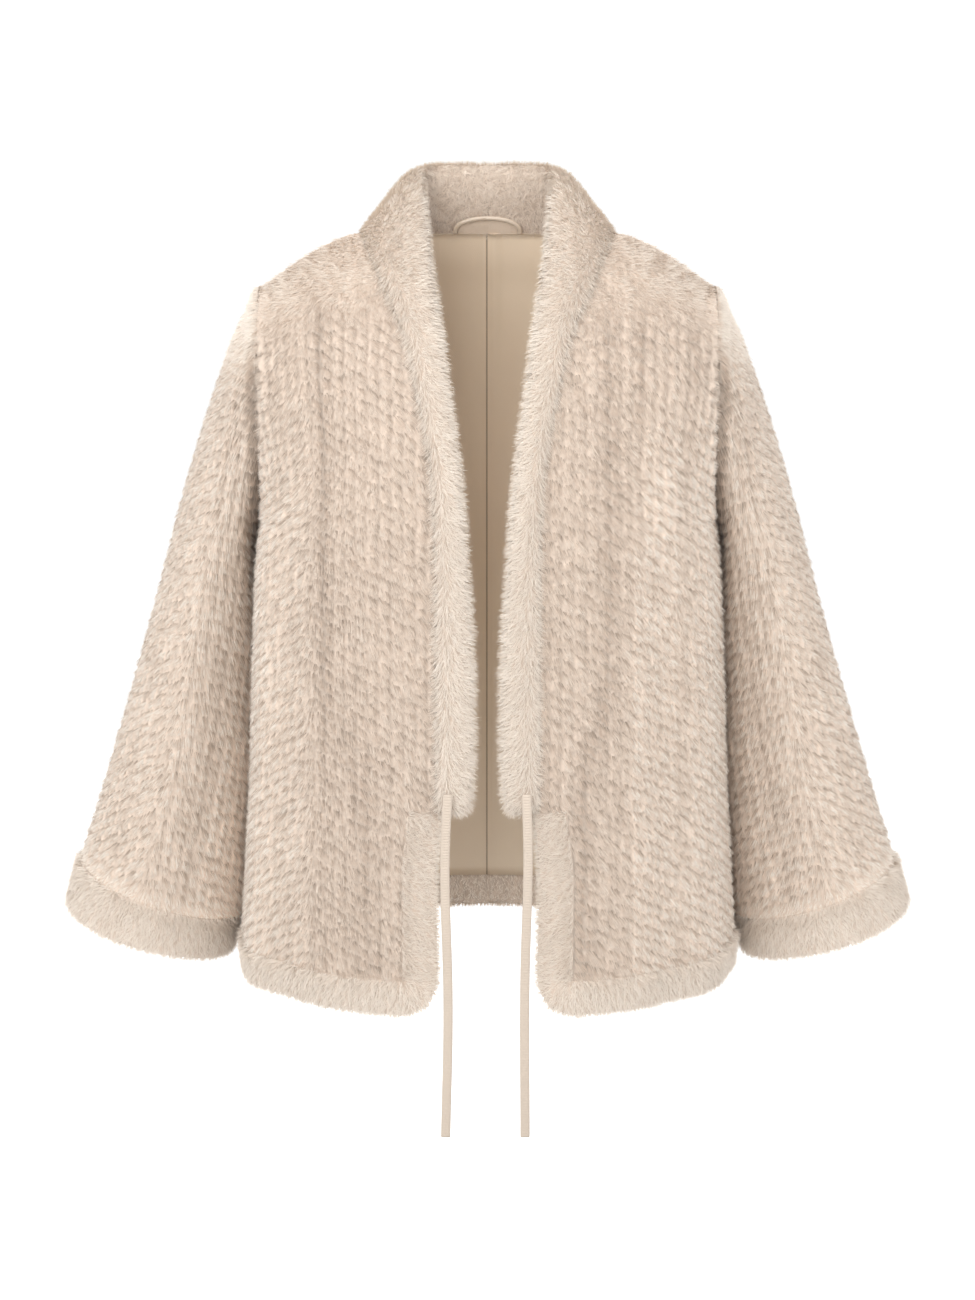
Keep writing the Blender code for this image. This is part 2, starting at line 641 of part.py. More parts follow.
def build_sleeve(side):
    label = "right" if side > 0 else "left"
    grid = sleeve_grid()
    ways = closed_normals(grid)
    towards = grid.mean(axis=0)[None] - grid
    if np.mean(np.sum(ways * towards, axis=2)) < 0:
        ways = -ways
    shares = np.arange(grid.shape[0]) / grid.shape[0]
    fade = np.sin(np.pi * np.clip(np.arange(grid.shape[1]) / (grid.shape[1] + 1.0), 0, 1))
    lift = fold_heights(SLEEVE_FOLDS, shares)[:, None] * fade[None, :]
    grid = grid - ways * lift[:, :, None]
    ways[:, 0] = unit((ARMHOLE_MIDDLE - grid[:, 0]) * (0, 1, 1))
    rows = grid.shape[1] - 1
    around = grid.shape[0]
    sleeve = {(i, j) for i in range(around) for j in range(CUFF_SECTION)}
    cuff = {(i, j) for i in range(around) for j in range(CUFF_SECTION, rows)}
    inner = grid + ways * KNIT_WALL
    add_wall(side, wall(f"sleeve_{label}", grid, inner, sleeve, "knit_fur", closed=True))
    outer = grid - ways * BORDER_PROUD
    deep = grid + ways * (PLUSH_WALL - BORDER_PROUD)
    made = wall(f"cuff_border_{label}", outer, deep, cuff, "plush_fur", lambda i, j: j == rows, closed=True)
    add_wall(side, made)


# ---------------------------------------------------------------- the shawl band
# Its section, as shares of its width from the seam and of its thickness from its middle. Two of the points
# on the seam are where the panels' faces meet it.
PANEL_FACE = PANEL_BELOW_BAND / BAND_THICKNESS
PANEL_BACK = PANEL_FACE - KNIT_WALL / BAND_THICKNESS
BAND_PROFILE = (
    (0.00, PANEL_FACE),
    (0.00, 0.42),
    (0.28, 0.50),
    (0.62, 0.48),
    (0.88, 0.32),
    (1.00, 0.00),
    (0.88, -0.32),
    (0.62, -0.48),
    (0.28, -0.50),
    (0.00, -0.42),
    (0.00, PANEL_BACK),
)


def build_band(side):
    """One half of the shawl band, from its lower end to the middle of the back neck."""
    label = "right" if side > 0 else "left"
    width = np.linalg.norm(EDGE - SEAM, axis=1)
    rings = []
    for k in range(len(SEAM)):
        for (wide, thick), length in zip(BAND_END_SHRINK, BAND_END_LENGTHS):
            if k == 0:
                up = unit(SEAM[1] - SEAM[0]) * (length + SEAM_GAP)
                rings.append((SEAM[0] + up, ACROSS[0], SEAM_OUT[0], width[0] * wide, thick))
        if k > 0:
            rings.append((SEAM[k], ACROSS[k], SEAM_OUT[k], width[k], 1.0))
    rings[-1] = tuple(np.asarray(v, float) * (0, 1, 1) if k < 3 else v for k, v in enumerate(rings[-1]))
    points = []
    for seam, across, out, wide, thick in rings:
        for w, t in BAND_PROFILE:
            shift = across * (SEAM_GAP * 0.5)
            points.append(seam + shift + across * wide * w + out * BAND_THICKNESS * thick * t)
    count = len(BAND_PROFILE)
    for k in range(count):
        points[-1 - k] = points[-1 - k] + np.array([SEAM_GAP, 0, 0])
    faces = []
    for ring in range(len(rings) - 1):
        for k in range(count):
            a, b = ring * count + k, ring * count + (k + 1) % count
            faces += [(a, b, a + count), (b, b + count, a + count)]
    faces.append(tuple(reversed(range(count))))
    faces.append(tuple(range(len(points) - count, len(points))))
    add_wall(side, (f"shawl_band_{label}", points, faces, "plush_fur"))


# ---------------------------------------------------------------- hanger loop and ties
def cord_curve(name, route, radius, count, finish, resolution=2):
    """A tube with filled ends along a smooth curve through a route's points."""
    curve = bpy.data.curves.new(name, "CURVE")
    curve.dimensions = "3D"
    curve.bevel_depth = radius
    curve.bevel_resolution = resolution
    curve.use_fill_caps = True
    spline = curve.splines.new("POLY")
    spline.points.add(count - 1)
    places = np.linspace(0, len(route) - 1, count)
    for point, place in zip(spline.points, places):
        point.co = (*smooth_at(route, float(place)), 1.0)
    curve.materials.append(material(finish))
    cord = bpy.data.objects.new(name, curve)
    coat.objects.link(cord)
    return cord


def collar_face_y(x, height):
    """Depth of the collar's inner face near the middle of the back, at a place along it and a height."""
    (_, low_side), (up, high_side) = BAND_PROFILE[-2], BAND_PROFILE[-3]
    places = []
    for seam, edge, out in zip(SEAM[NECK_STATION:], EDGE[NECK_STATION:], SEAM_OUT[NECK_STATION:]):
        low = seam + out * BAND_THICKNESS * low_side
        high = seam + (edge - seam) * up + out * BAND_THICKNESS * high_side
        places.append(mixed(low, high, (height - low[2]) / (high[2] - low[2])))
    places = np.array(places[::-1])
    return float(np.interp(abs(x), places[:, 0], places[:, 1]))


def arch(half_span, rise, foot, count=13):
    """Points (x, height) of an arch that stands on the collar's seam."""
    angles = [math.pi * k / (count - 1) for k in range(count)]
    return [(-half_span * math.cos(t), foot + rise * math.sin(t) ** 0.8) for t in angles]


def build_loop():
    """The arch of satin cord and the half-moon of cloth under it, both on the collar's inner face."""
    lift = LOOP_RADIUS + PATCH_THICKNESS + 3 * LOOP_CLEAR
    route = [(x, collar_face_y(x, h) - lift, h) for x, h in arch(LOOP_SPAN / 2, LOOP_RISE, LOOP_FOOT)]
    cord_curve("hanger_loop", route, LOOP_RADIUS, 25, "satin_cord")
    outline = arch(LOOP_SPAN / 2 - LOOP_RADIUS, LOOP_RISE - PATCH_THICKNESS, LOOP_FOOT)
    points, faces = [], []
    for layer in (0.0, PATCH_THICKNESS):
        for x, h in outline:
            points.append(np.array([x, collar_face_y(x, h) - LOOP_CLEAR - layer, h]))
        for x, _ in outline:
            points.append(np.array([x, collar_face_y(x, LOOP_FOOT) - LOOP_CLEAR - layer, LOOP_FOOT - 0.001]))
    count = len(outline)
    layer = 2 * count
    for k in range(count - 1):
        top, low = k, k + count
        faces += [(top, top + 1, low + 1, low), (low + layer, low + 1 + layer, top + 1 + layer, top + layer)]
        faces += [(top + 1, top, top + layer, top + 1 + layer), (low, low + 1, low + 1 + layer, low + layer)]
    for top, low in ((0, count), (2 * count - 1, count - 1)):
        faces.append((top, low, low + layer, top + layer))
    add_wall(1, ("neck_patch", points, faces, "lining_satin"))


for which in (-1, 1):
    build_front(which)
    build_sleeve(which)
    build_band(which)
build_back()
build_loop()
cord_curve("tie_left", LEFT_TIE_ROUTE, TIE_WIDTH / 2, TIE_POINTS, "woven_tie")
cord_curve("tie_right", RIGHT_TIE_ROUTE, TIE_WIDTH / 2, TIE_POINTS, "woven_tie")
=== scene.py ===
"""Looks of a short, open jacket of knitted fur with a plush shawl band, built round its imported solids.

Metres, +Z up, the front faces -Y. The panels' faces are worked out from the same tables as the solids.
Each becomes a thin shell with the knit's puffs in relief, and a mesh of short flat hairs that lie on it.
"""

import math

import bpy
import numpy as np
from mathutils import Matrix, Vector


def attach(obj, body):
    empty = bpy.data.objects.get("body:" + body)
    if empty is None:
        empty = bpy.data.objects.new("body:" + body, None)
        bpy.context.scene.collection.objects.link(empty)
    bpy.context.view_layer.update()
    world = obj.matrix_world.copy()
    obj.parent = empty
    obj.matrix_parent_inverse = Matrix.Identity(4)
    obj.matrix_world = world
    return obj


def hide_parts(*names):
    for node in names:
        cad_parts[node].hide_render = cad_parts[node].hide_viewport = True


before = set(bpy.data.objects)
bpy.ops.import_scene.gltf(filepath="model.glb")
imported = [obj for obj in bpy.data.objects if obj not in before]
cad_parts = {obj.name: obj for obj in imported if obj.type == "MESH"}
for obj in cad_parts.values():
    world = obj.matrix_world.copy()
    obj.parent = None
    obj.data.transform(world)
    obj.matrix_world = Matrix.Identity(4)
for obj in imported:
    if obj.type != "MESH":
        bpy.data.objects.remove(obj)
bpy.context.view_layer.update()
SEED = 11

# ---------------------------------------------------------------- camera
camera_data = bpy.data.cameras.new("camera")
camera_data.lens = 110.13
camera_data.sensor_width = 36.0
camera_data.clip_end = 100.0
camera = bpy.data.objects.new("camera", camera_data)
camera.location = (0.0, -3.4357, 0.3078)
camera.rotation_euler = (math.radians(79.0), 0.0, 0.0)
bpy.context.scene.collection.objects.link(camera)
bpy.context.scene.camera = camera


# ---------------------------------------------------------------- numbers on curves and grids
def along(rows, places, closed=False):
    """A Catmull-Rom curve through rows of numbers, read at row numbers that may be fractions."""
    rows, places = np.asarray(rows, float), np.asarray(places, float)
    n = len(rows)
    if closed:
        k = np.floor(places).astype(int)
        z, a, b, c = (rows[(k + d) % n] for d in (-1, 0, 1, 2))
    else:
        k = np.clip(np.floor(places).astype(int), 0, n - 2)
        padded = np.concatenate([[2 * rows[0] - rows[1]], rows, [2 * rows[-1] - rows[-2]]])
        z, a, b, c = (padded[k + d] for d in range(4))
    f = (places - k).reshape((-1,) + (1,) * (rows.ndim - 1))
    return 0.5 * (2 * a + (b - z) * f + (2 * z - 5 * a + 4 * b - c) * f**2 + (3 * a - z - 3 * b + c) * f**3)


def sample(grid, xs, ys, closed=False):
    """A grid read at fractional column and row numbers."""
    return along(along(grid, xs, closed).swapaxes(0, 1), ys).swapaxes(0, 1)


def unit(v):
    v = np.asarray(v, float)
    return v / np.maximum(np.linalg.norm(v, axis=-1, keepdims=True), 1e-12)


def mixed(a, b, share):
    return np.asarray(a, float) * (1 - share) + np.asarray(b, float) * share


def smooth_step(x, low, high):
    t = np.clip((x - low) / (high - low), 0, 1)
    return t * t * (3 - 2 * t)


def bell(x, width):
    """1 at 0, falling off to both sides."""
    return np.exp(-((x / width) ** 2))


def hills(x, rows):
    """Bells side by side, each row with its place, width and height."""
    return sum(height * bell(np.asarray(x) - place, width) for place, width, height in rows)


def run_over(points, axis=0):
    """The way run from the first point, along a line or one axis of a grid."""
    steps = np.linalg.norm(np.diff(points, axis=axis), axis=-1)
    return np.insert(np.cumsum(steps, axis=axis), 0, 0, axis=axis)


def ringed(k, axis=0):
    """A closed grid with its first line once more at its end."""
    return np.concatenate([k, np.take(k, [0], axis=axis)], axis=axis)


def bezier(ends, shares):
    p0, p1, p2, p3 = (np.asarray(p, float) for p in ends)
    t = np.linspace(0, 1, 61)[:, None]
    fine = (1 - t) ** 3 * p0 + 3 * (1 - t) ** 2 * t * p1 + 3 * (1 - t) * t**2 * p2 + t**3 * p3
    run = run_over(fine)
    wanted = np.asarray(shares) * run[-1]
    return np.stack([np.interp(wanted, run, fine[:, k]) for k in range(3)], 1)


def normals_of(grid, closed=False):
    if closed:
        across = np.roll(grid, -1, axis=0) - np.roll(grid, 1, axis=0)
    else:
        across = np.gradient(grid, axis=0)
    return unit(np.cross(across, np.gradient(grid, axis=1)))


def outward_normals(face, into, closed=False):
    """A face's normals, turned away from the wall behind it."""
    out = normals_of(face, closed)
    return out if np.sum(out * into) < 0 else -out


# ---------------------------------------------------------------- the cords
TIE_WIDTH = 0.008
TIE_DEPTH = 0.0026
TIE_RIB = 0.0024
TIE_HEIGHTS = (-0.448, -0.456, -0.464, -0.474, -0.486, -0.500, -0.516, -0.533, -0.551)
TIE_HEIGHTS += (-0.570, -0.590, -0.611, -0.633, -0.656, -0.680, -0.703, -0.726, -0.749)
TIE_DEPTHS = (-0.1840, -0.1846, -0.1848, -0.1846, -0.1842, -0.1836, -0.1829, -0.1821, -0.1814)
TIE_DEPTHS += (-0.1808, -0.1803, -0.1800, -0.1799, -0.1799, -0.1800, -0.1801, -0.1802, -0.1803)
TIE_SIDES = {
    "left": (-0.0334, -0.0337, -0.0342, -0.0348, -0.0353, -0.0357, -0.0359, -0.0358, -0.0354)
    + (-0.0348, -0.0342, -0.0337, -0.0335, -0.0336, -0.0340, -0.0346, -0.0352, -0.0358),
    "right": (0.0327, 0.0330, 0.0333, 0.0336, 0.0339, 0.0341, 0.0341, 0.0338, 0.0333)
    + (0.0327, 0.0321, 0.0317, 0.0315, 0.0315, 0.0316, 0.0318, 0.0320, 0.0321),
}


# ---------------------------------------------------------------- meshes and materials
def new_mesh(name, points, faces):
    """A mesh from an array of points and a list of arrays of faces, each with rows of one length."""
    mesh = bpy.data.meshes.new(name)
    points = np.asarray(points, np.float32)
    corners = np.concatenate([np.asarray(f, np.int32).ravel() for f in faces])
    sizes = np.concatenate([np.full(len(f), np.asarray(f).shape[1]) for f in faces])
    starts = np.concatenate([[0], np.cumsum(sizes)[:-1]]).astype(np.int32)
    mesh.vertices.add(len(points))
    mesh.vertices.foreach_set("co", points.ravel())
    mesh.loops.add(len(corners))
    mesh.loops.foreach_set("vertex_index", corners)
    mesh.polygons.add(len(starts))
    mesh.polygons.foreach_set("loop_start", starts)
    mesh.polygons.foreach_set("use_smooth", np.full(len(starts), True))
    mesh.update(calc_edges=True)
    return mesh


def add(name, mesh, material):
    mesh.materials.append(material)
    piece = bpy.data.objects.new(name, mesh)
    bpy.context.scene.collection.objects.link(piece)
    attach(piece, "root")
    return piece


def paint(mesh, colours):
    """Gives each point of a mesh its linear colour."""
    layer = mesh.color_attributes.new("tone", "FLOAT_COLOR", "POINT")
    full = np.ones((len(colours), 4), np.float32)
    full[:, :3] = colours
    layer.data.foreach_set("color", full.ravel())


def shader_material(name, roughness, specular=0.3, sheen=0.0):
    made = bpy.data.materials.new(name)
    made.use_nodes = True
    shader = made.node_tree.nodes["Principled BSDF"]
    shader.inputs["Roughness"].default_value = roughness
    shader.inputs["Specular IOR Level"].default_value = specular
    shader.inputs["Sheen Weight"].default_value = sheen
    shader.inputs["Sheen Roughness"].default_value = 0.5
    return made, made.node_tree.nodes, made.node_tree.links, shader


def mixed_colour(nodes, links, factor, one, other, blend="MIX"):
    """A mix of two colours. Each input is a value or the socket it comes from."""
    mix = nodes.new("ShaderNodeMix")
    mix.data_type = "RGBA"
    mix.blend_type = blend
    for socket, value in ((mix.inputs["Factor"], factor), (mix.inputs[6], one), (mix.inputs[7], other)):
        if isinstance(value, bpy.types.NodeSocket):
            links.new(value, socket)
        else:
            socket.default_value = value
    return mix.outputs[2]


def noise_ramp(nodes, links, scale, stretch, colours, detail=4.0):
    """Noise over object space, stretched by a scale on each axis, turned into colours."""
    place = nodes.new("ShaderNodeTexCoord")
    mapping = nodes.new("ShaderNodeMapping")
    mapping.inputs["Scale"].default_value = stretch
    noise = nodes.new("ShaderNodeTexNoise")
    noise.inputs["Scale"].default_value = scale
    noise.inputs["Detail"].default_value = detail
    ramp = nodes.new("ShaderNodeValToRGB")
    ramp.color_ramp.elements[0].position = 0.3
    ramp.color_ramp.elements[1].position = 0.7
    ramp.color_ramp.elements[0].color = (*colours[0], 1)
    ramp.color_ramp.elements[1].color = (*colours[1], 1)
    links.new(place.outputs["Object"], mapping.inputs["Vector"])
    links.new(mapping.outputs["Vector"], noise.inputs["Vector"])
    links.new(noise.outputs["Fac"], ramp.inputs["Fac"])
    return ramp.outputs["Color"], noise.outputs["Fac"]


def bumped(nodes, links, shader, height, distance, strength):
    bump = nodes.new("ShaderNodeBump")
    bump.inputs["Distance"].default_value = distance
    bump.inputs["Strength"].default_value = strength
    links.new(height, bump.inputs["Height"])
    links.new(bump.outputs["Normal"], shader.inputs["Normal"])


def painted_tone(nodes):
    tone = nodes.new("ShaderNodeAttribute")
    tone.attribute_name = "tone"
    return tone.outputs["Color"]


def strand_material(name, roughness, sheen):
    """Hairs, coloured point by point from root to tip."""
    made, nodes, links, shader = shader_material(name, roughness, 0.25, sheen)
    links.new(painted_tone(nodes), shader.inputs["Base Color"])
    return made


def under_fur_material(name):
    """The felted ground under the hairs: the points' colours, mottled and streaked."""
    made, nodes, links, shader = shader_material(name, 0.85, 0.2, 0.2)
    colour, height = noise_ramp(nodes, links, 260.0, (1.0, 1.0, 0.35), ((0.86,) * 3, (1.1,) * 3))
    mottled = mixed_colour(nodes, links, 1.0, painted_tone(nodes), colour, "MULTIPLY")
    links.new(mottled, shader.inputs["Base Color"])
    bumped(nodes, links, shader, height, 0.0012, 0.6)
    return made


def satin_material(name, dark, light, roughness, weave, distance=0.00012, specular=0.5):
    """Woven satin: fine threads across a slow change of tone."""
    made, nodes, links, shader = shader_material(name, roughness, specular, 0.15)
    colour, _ = noise_ramp(nodes, links, 9.0, (1.0, 1.0, 0.3), (dark, light), 2.0)
    links.new(colour, shader.inputs["Base Color"])
    place = nodes.new("ShaderNodeTexCoord")
    wave = nodes.new("ShaderNodeTexWave")
    wave.bands_direction = "DIAGONAL"
    wave.inputs["Scale"].default_value = weave
    wave.inputs["Distortion"].default_value = 1.5
    wave.inputs["Detail"].default_value = 2.0
    links.new(place.outputs["Object"], wave.inputs["Vector"])
    bumped(nodes, links, shader, wave.outputs["Fac"], distance, 0.35)
    return made


FUR = np.array((0.935, 0.85, 0.752))
UNDER = np.array((0.74, 0.61, 0.505))
STRANDS = strand_material("fur_strands", 0.72, 0.25)
GROUND = under_fur_material("fur_ground")
TIE_CLOTH = satin_material("woven_cord", (0.58, 0.49, 0.405), (0.67, 0.57, 0.475), 0.6, 260.0, 0.0002, 0.3)
SATIN = satin_material("satin", (0.84, 0.70, 0.56), (0.90, 0.76, 0.62), 0.42, 300.0)
SATIN_CORD = satin_material("satin_cord", (0.66, 0.54, 0.42), (0.75, 0.62, 0.49), 0.22, 220.0, 0.00008, 0.8)


def tube_faces(rings, around):
    """Quads of a tube of rings, and its two end faces."""
    k, j = np.meshgrid(np.arange(rings - 1), np.arange(around), indexing="ij")
    a, b = k * around + j, k * around + (j + 1) % around
    quads = np.stack([a, b, b + around, a + around], -1).reshape(-1, 4)
    ends = np.array([np.arange(around)[::-1], (rings - 1) * around + np.arange(around)])
    return [quads, ends]


def build_tie(label):
    route = np.stack([TIE_SIDES[label], TIE_DEPTHS, TIE_HEIGHTS], 1)
    line = along(route, np.linspace(0, len(route) - 1, 500))
    run = run_over(line)
    way = unit(np.gradient(line, axis=0))
    wide = unit(np.array((1.0, 0, 0)) - way * way[:, :1])
    deep = np.cross(way, wide)
    turn = np.linspace(0, 2 * math.pi, 10, endpoint=False)
    rib = np.cos(2 * math.pi * run / TIE_RIB)[:, None]
    end = np.sqrt(np.clip((run[-1] - run) / 0.0012, 0.15, 1))[:, None]
    w = TIE_WIDTH / 2 * np.sign(np.cos(turn)) * np.abs(np.cos(turn)) ** 0.7 * (1 + 0.02 * rib) * mixed(1, end, 0.1)
    chevron = 1 + 0.30 * np.cos(2 * math.pi * (run[:, None] + np.abs(w) * 0.5) / TIE_RIB)
    d = TIE_DEPTH / 2 * np.sin(turn) * chevron * end
    points = line[:, None] + wide[:, None] * w[..., None] + deep[:, None] * d[..., None]
    mesh = new_mesh(f"tie_cord_{label}", points.reshape(-1, 3), tube_faces(len(line), len(turn)))
    tie = add(f"tie_cord_{label}", mesh, TIE_CLOTH)
    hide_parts(f"tie_{label}")


build_tie("left")
build_tie("right")

# ---------------------------------------------------------------- the cut, as in the solids
KNIT_WALL, PLUSH_WALL, PROUD = 0.012, 0.016, 0.0015
BAND_THICKNESS, PANEL_BELOW_BAND = 0.025, 0.004
HEM_FRONT, HEM_SIDE, HEM_BACK, UNDERARM = -0.641, -0.634, -0.617, -0.240
NECK_COLUMNS, SHOULDER_COLUMNS, ARMHOLE_ROWS = 5, 10, 11
ROW_HEIGHTS = (0.0, 0.026, 0.073, 0.123, 0.174, 0.220, 0.266, 0.312, 0.357, 0.401)
NOTCH_ROW = 4
BODY_SECTIONS = (  # height, edge_y, side_x, side_y, bulge_x, bulge_y, back_y
    (-0.643, -0.1700, 0.2095, 0.034, 0.2560, -0.062, 0.130),
    (-0.560, -0.1695, 0.2070, 0.032, 0.2450, -0.074, 0.129),
    (-0.467, -0.1685, 0.2030, 0.030, 0.2360, -0.080, 0.128),
    (-0.360, -0.1680, 0.1985, 0.027, 0.2260, -0.085, 0.127),
    (-0.280, -0.1660, 0.1955, 0.022, 0.2200, -0.088, 0.127),
    (-0.240, -0.1640, 0.1945, 0.018, 0.2095, -0.090, 0.127),
)
BAND_SECTIONS = (  # seam_x, seam_y, seam_z, edge_x, edge_y, edge_z
    (0.0428, -0.1670, -0.4670, 0.0115, -0.1690, -0.4670),
    (0.0428, -0.1670, -0.4000, 0.0095, -0.1700, -0.4000),
    (0.0428, -0.1665, -0.3300, 0.0105, -0.1700, -0.3300),
    (0.0430, -0.1650, -0.2620, 0.0146, -0.1690, -0.2620),
    (0.0445, -0.1620, -0.2100, 0.0185, -0.1660, -0.2080),
    (0.0485, -0.1550, -0.1630, 0.0235, -0.1600, -0.1600),
    (0.0600, -0.1400, -0.1070, 0.0320, -0.1440, -0.1020),
    (0.0705, -0.1200, -0.0660, 0.0390, -0.1230, -0.0600),
    (0.0840, -0.0960, -0.0400, 0.0460, -0.0970, -0.0260),
    (0.0965, -0.0600, -0.0150, 0.0505, -0.0620, 0.0080),
    (0.1035, -0.0250, -0.0020, 0.0535, -0.0260, 0.0320),
    (0.1040, 0.0050, 0.0010, 0.0550, 0.0020, 0.0430),
    (0.0950, 0.0360, 0.0010, 0.0560, 0.0260, 0.0520),
    (0.0730, 0.0650, 0.0000, 0.0540, 0.0500, 0.0590),
    (0.0400, 0.0780, 0.0000, 0.0330, 0.0640, 0.0610),
    (0.0000, 0.0820, 0.0000, 0.0000, 0.0690, 0.0600),
)
SLEEVE_SECTIONS = (  # outer_x, outer_z, inner_x, inner_z, mid_y, half_depth
    (0.1970, -0.0410, 0.1945, -0.2400, 0.012, 0.086),
    (0.2085, -0.0560, 0.2040, -0.2580, 0.014, 0.084),
    (0.2235, -0.0860, 0.2050, -0.2850, 0.018, 0.081),
    (0.2375, -0.1270, 0.2045, -0.3130, 0.022, 0.079),
    (0.2530, -0.1720, 0.2040, -0.3430, 0.026, 0.077),
    (0.2680, -0.2220, 0.2048, -0.3760, 0.029, 0.076),
    (0.2825, -0.2750, 0.2065, -0.4120, 0.031, 0.075),
    (0.2980, -0.3320, 0.2085, -0.4500, 0.032, 0.074),
    (0.3135, -0.3870, 0.2115, -0.4870, 0.032, 0.073),
    (0.3295, -0.4400, 0.2145, -0.5220, 0.032, 0.072),
    (0.3445, -0.4900, 0.2175, -0.5570, 0.032, 0.072),
    (0.3655, -0.5520, 0.2210, -0.6010, 0.032, 0.073),
    (0.3795, -0.5885, 0.2235, -0.6310, 0.032, 0.074),
)
CUFF_SECTION = 11
LEFT_FRONT_FOLDS = ((0.47, 0.07, -0.0045), (0.60, 0.08, 0.0045), (0.80, 0.08, -0.0030))
RIGHT_FRONT_FOLDS = ((0.42, 0.06, -0.0040), (0.54, 0.07, 0.0045), (0.72, 0.07, -0.0035))
BACK_FOLDS = ((0.22, 0.08, -0.0030), (0.40, 0.09, 0.0040), (0.62, 0.09, -0.0040))
SLEEVE_FOLDS = ((0.30, 0.06, 0.0035), (0.19, 0.05, -0.0030), (0.72, 0.08, 0.0030))
ARMHOLE_TOP, ARMHOLE_BOTTOM = np.array((0.1970, 0.006, -0.0400)), np.array((0.1945, 0.018, -0.2400))
ARMHOLE_MIDDLE = (ARMHOLE_TOP + ARMHOLE_BOTTOM) / 2
MIRROR = np.array((-1.0, 1.0, 1.0))


def body_section(z):
    heights = [row[0] for row in BODY_SECTIONS]
    return along(BODY_SECTIONS, [np.interp(z, heights, range(len(heights)))])[0, 1:]


def seam_places():
    """Row numbers on BAND_SECTIONS of the seam's stations, from the lower end to the middle back."""
    fine = np.linspace(0, len(BAND_SECTIONS) - 1, 901)
    line = along(BAND_SECTIONS, fine)[:, :3]
    run = run_over(line)
    places = [float(np.interp(HEM_FRONT + h, line[:400, 2], fine[:400])) for h in ROW_HEIGHTS[NOTCH_ROW:]]
    start, neck = np.interp(places[-1], fine, run), np.interp(10.6, fine, run)
    for first, last, count in ((start, neck, ARMHOLE_ROWS), (neck, run[-1], NECK_COLUMNS)):
        places += [float(np.interp(mixed(first, last, k / count), run, fine)) for k in range(1, count + 1)]
    return places


STATIONS = along(BAND_SECTIONS, seam_places())
SEAM, EDGE = STATIONS[:, :3], STATIONS[:, 3:]
ACROSS = unit(EDGE - SEAM)
SEAM_OUT = unit(np.cross(np.gradient(SEAM, axis=0), ACROSS))
ROWS = len(ROW_HEIGHTS) + ARMHOLE_ROWS
UNDERARM_ROW = len(ROW_HEIGHTS) - 1
NECK_STATION = UNDERARM_ROW - NOTCH_ROW + ARMHOLE_ROWS
PANEL_SEAM = SEAM + SEAM_OUT * PANEL_BELOW_BAND


def armhole_point(turn, back):
    angle = math.pi * (turn - 0.5)
    place = ARMHOLE_MIDDLE + (ARMHOLE_TOP - ARMHOLE_BOTTOM) / 2 * math.sin(angle)
    place[1] += (1 if back else -1) * 0.086 * max(math.cos(angle), 0.0) ** 0.9
    return place


def row_height(row, share):
    hem = float(np.interp(share, (0, 0.5, 1), (HEM_FRONT, HEM_SIDE, HEM_BACK)))
    return hem + ROW_HEIGHTS[row] * (UNDERARM - hem) / (UNDERARM - HEM_FRONT)


def with_folds(grid, folds, shares):
    fade = np.clip((UNDERARM_ROW + 5 - np.arange(grid.shape[1])) / 7.0, 0, 1)
    ends = np.sin(np.pi * np.clip(np.asarray(shares), 0, 1)) ** 0.5
    lift = (hills(shares, folds) * ends)[:, None] * fade[None, :]
    return grid + normals_of(grid) * lift[:, :, None]


def front_grid(folds):
    """The right front's outer face: columns from its inner edge to the side, rows from hem to shoulder."""
    columns = []
    for row in range(ROWS):
        start = PANEL_SEAM[row - NOTCH_ROW] if row >= NOTCH_ROW else None
        if row <= UNDERARM_ROW:
            edge_y, side_x, side_y, bulge_x, bulge_y, _ = body_section(row_height(row, 0))
            if start is None:
                start = np.array([0.0485, edge_y, row_height(row, 0)])
            end = np.array([side_x, side_y, row_height(row, 0.5)])
            first = start + (0.118, 0, 0)
            last = np.array([bulge_x, bulge_y, end[2]])
        else:
            turn = (row - UNDERARM_ROW) / ARMHOLE_ROWS
            end = armhole_point(turn, back=False)
            slope = unit(end - start)
            leave = unit(mixed((1, 0, 0), slope, turn**1.5))
            arrive = unit(mixed((0.35, 0.92, -0.05), slope, np.clip((turn - 0.5) / 0.5, 0, 1)))
            span = np.linalg.norm(end - start)
            first = start + leave * mixed(0.118, span / 3, min(turn / 0.5, 1))
            first[2] += 0.006 * turn**3
            bulge = np.array([*body_section(UNDERARM)[3:5], end[2]])
            last = mixed(bulge, end - arrive * span / 3.2, smooth_step(turn, 0.05, 0.70))
            last[2] += 0.006 * turn**3
        length = np.linalg.norm(bezier((start, first, last, end), [1])[0] - start)
        shares = [0.0] + list(np.linspace(0.024 / max(length * 1.15, 0.09), 1, SHOULDER_COLUMNS))
        columns.append(bezier((start, first, last, end), shares))
    grid = np.array(columns).transpose(1, 0, 2)
    grid = with_folds(grid, folds, np.linspace(0, 1, grid.shape[0]))
    grid[0, 0] += (0.008, 0.0, 0.007)
    return grid


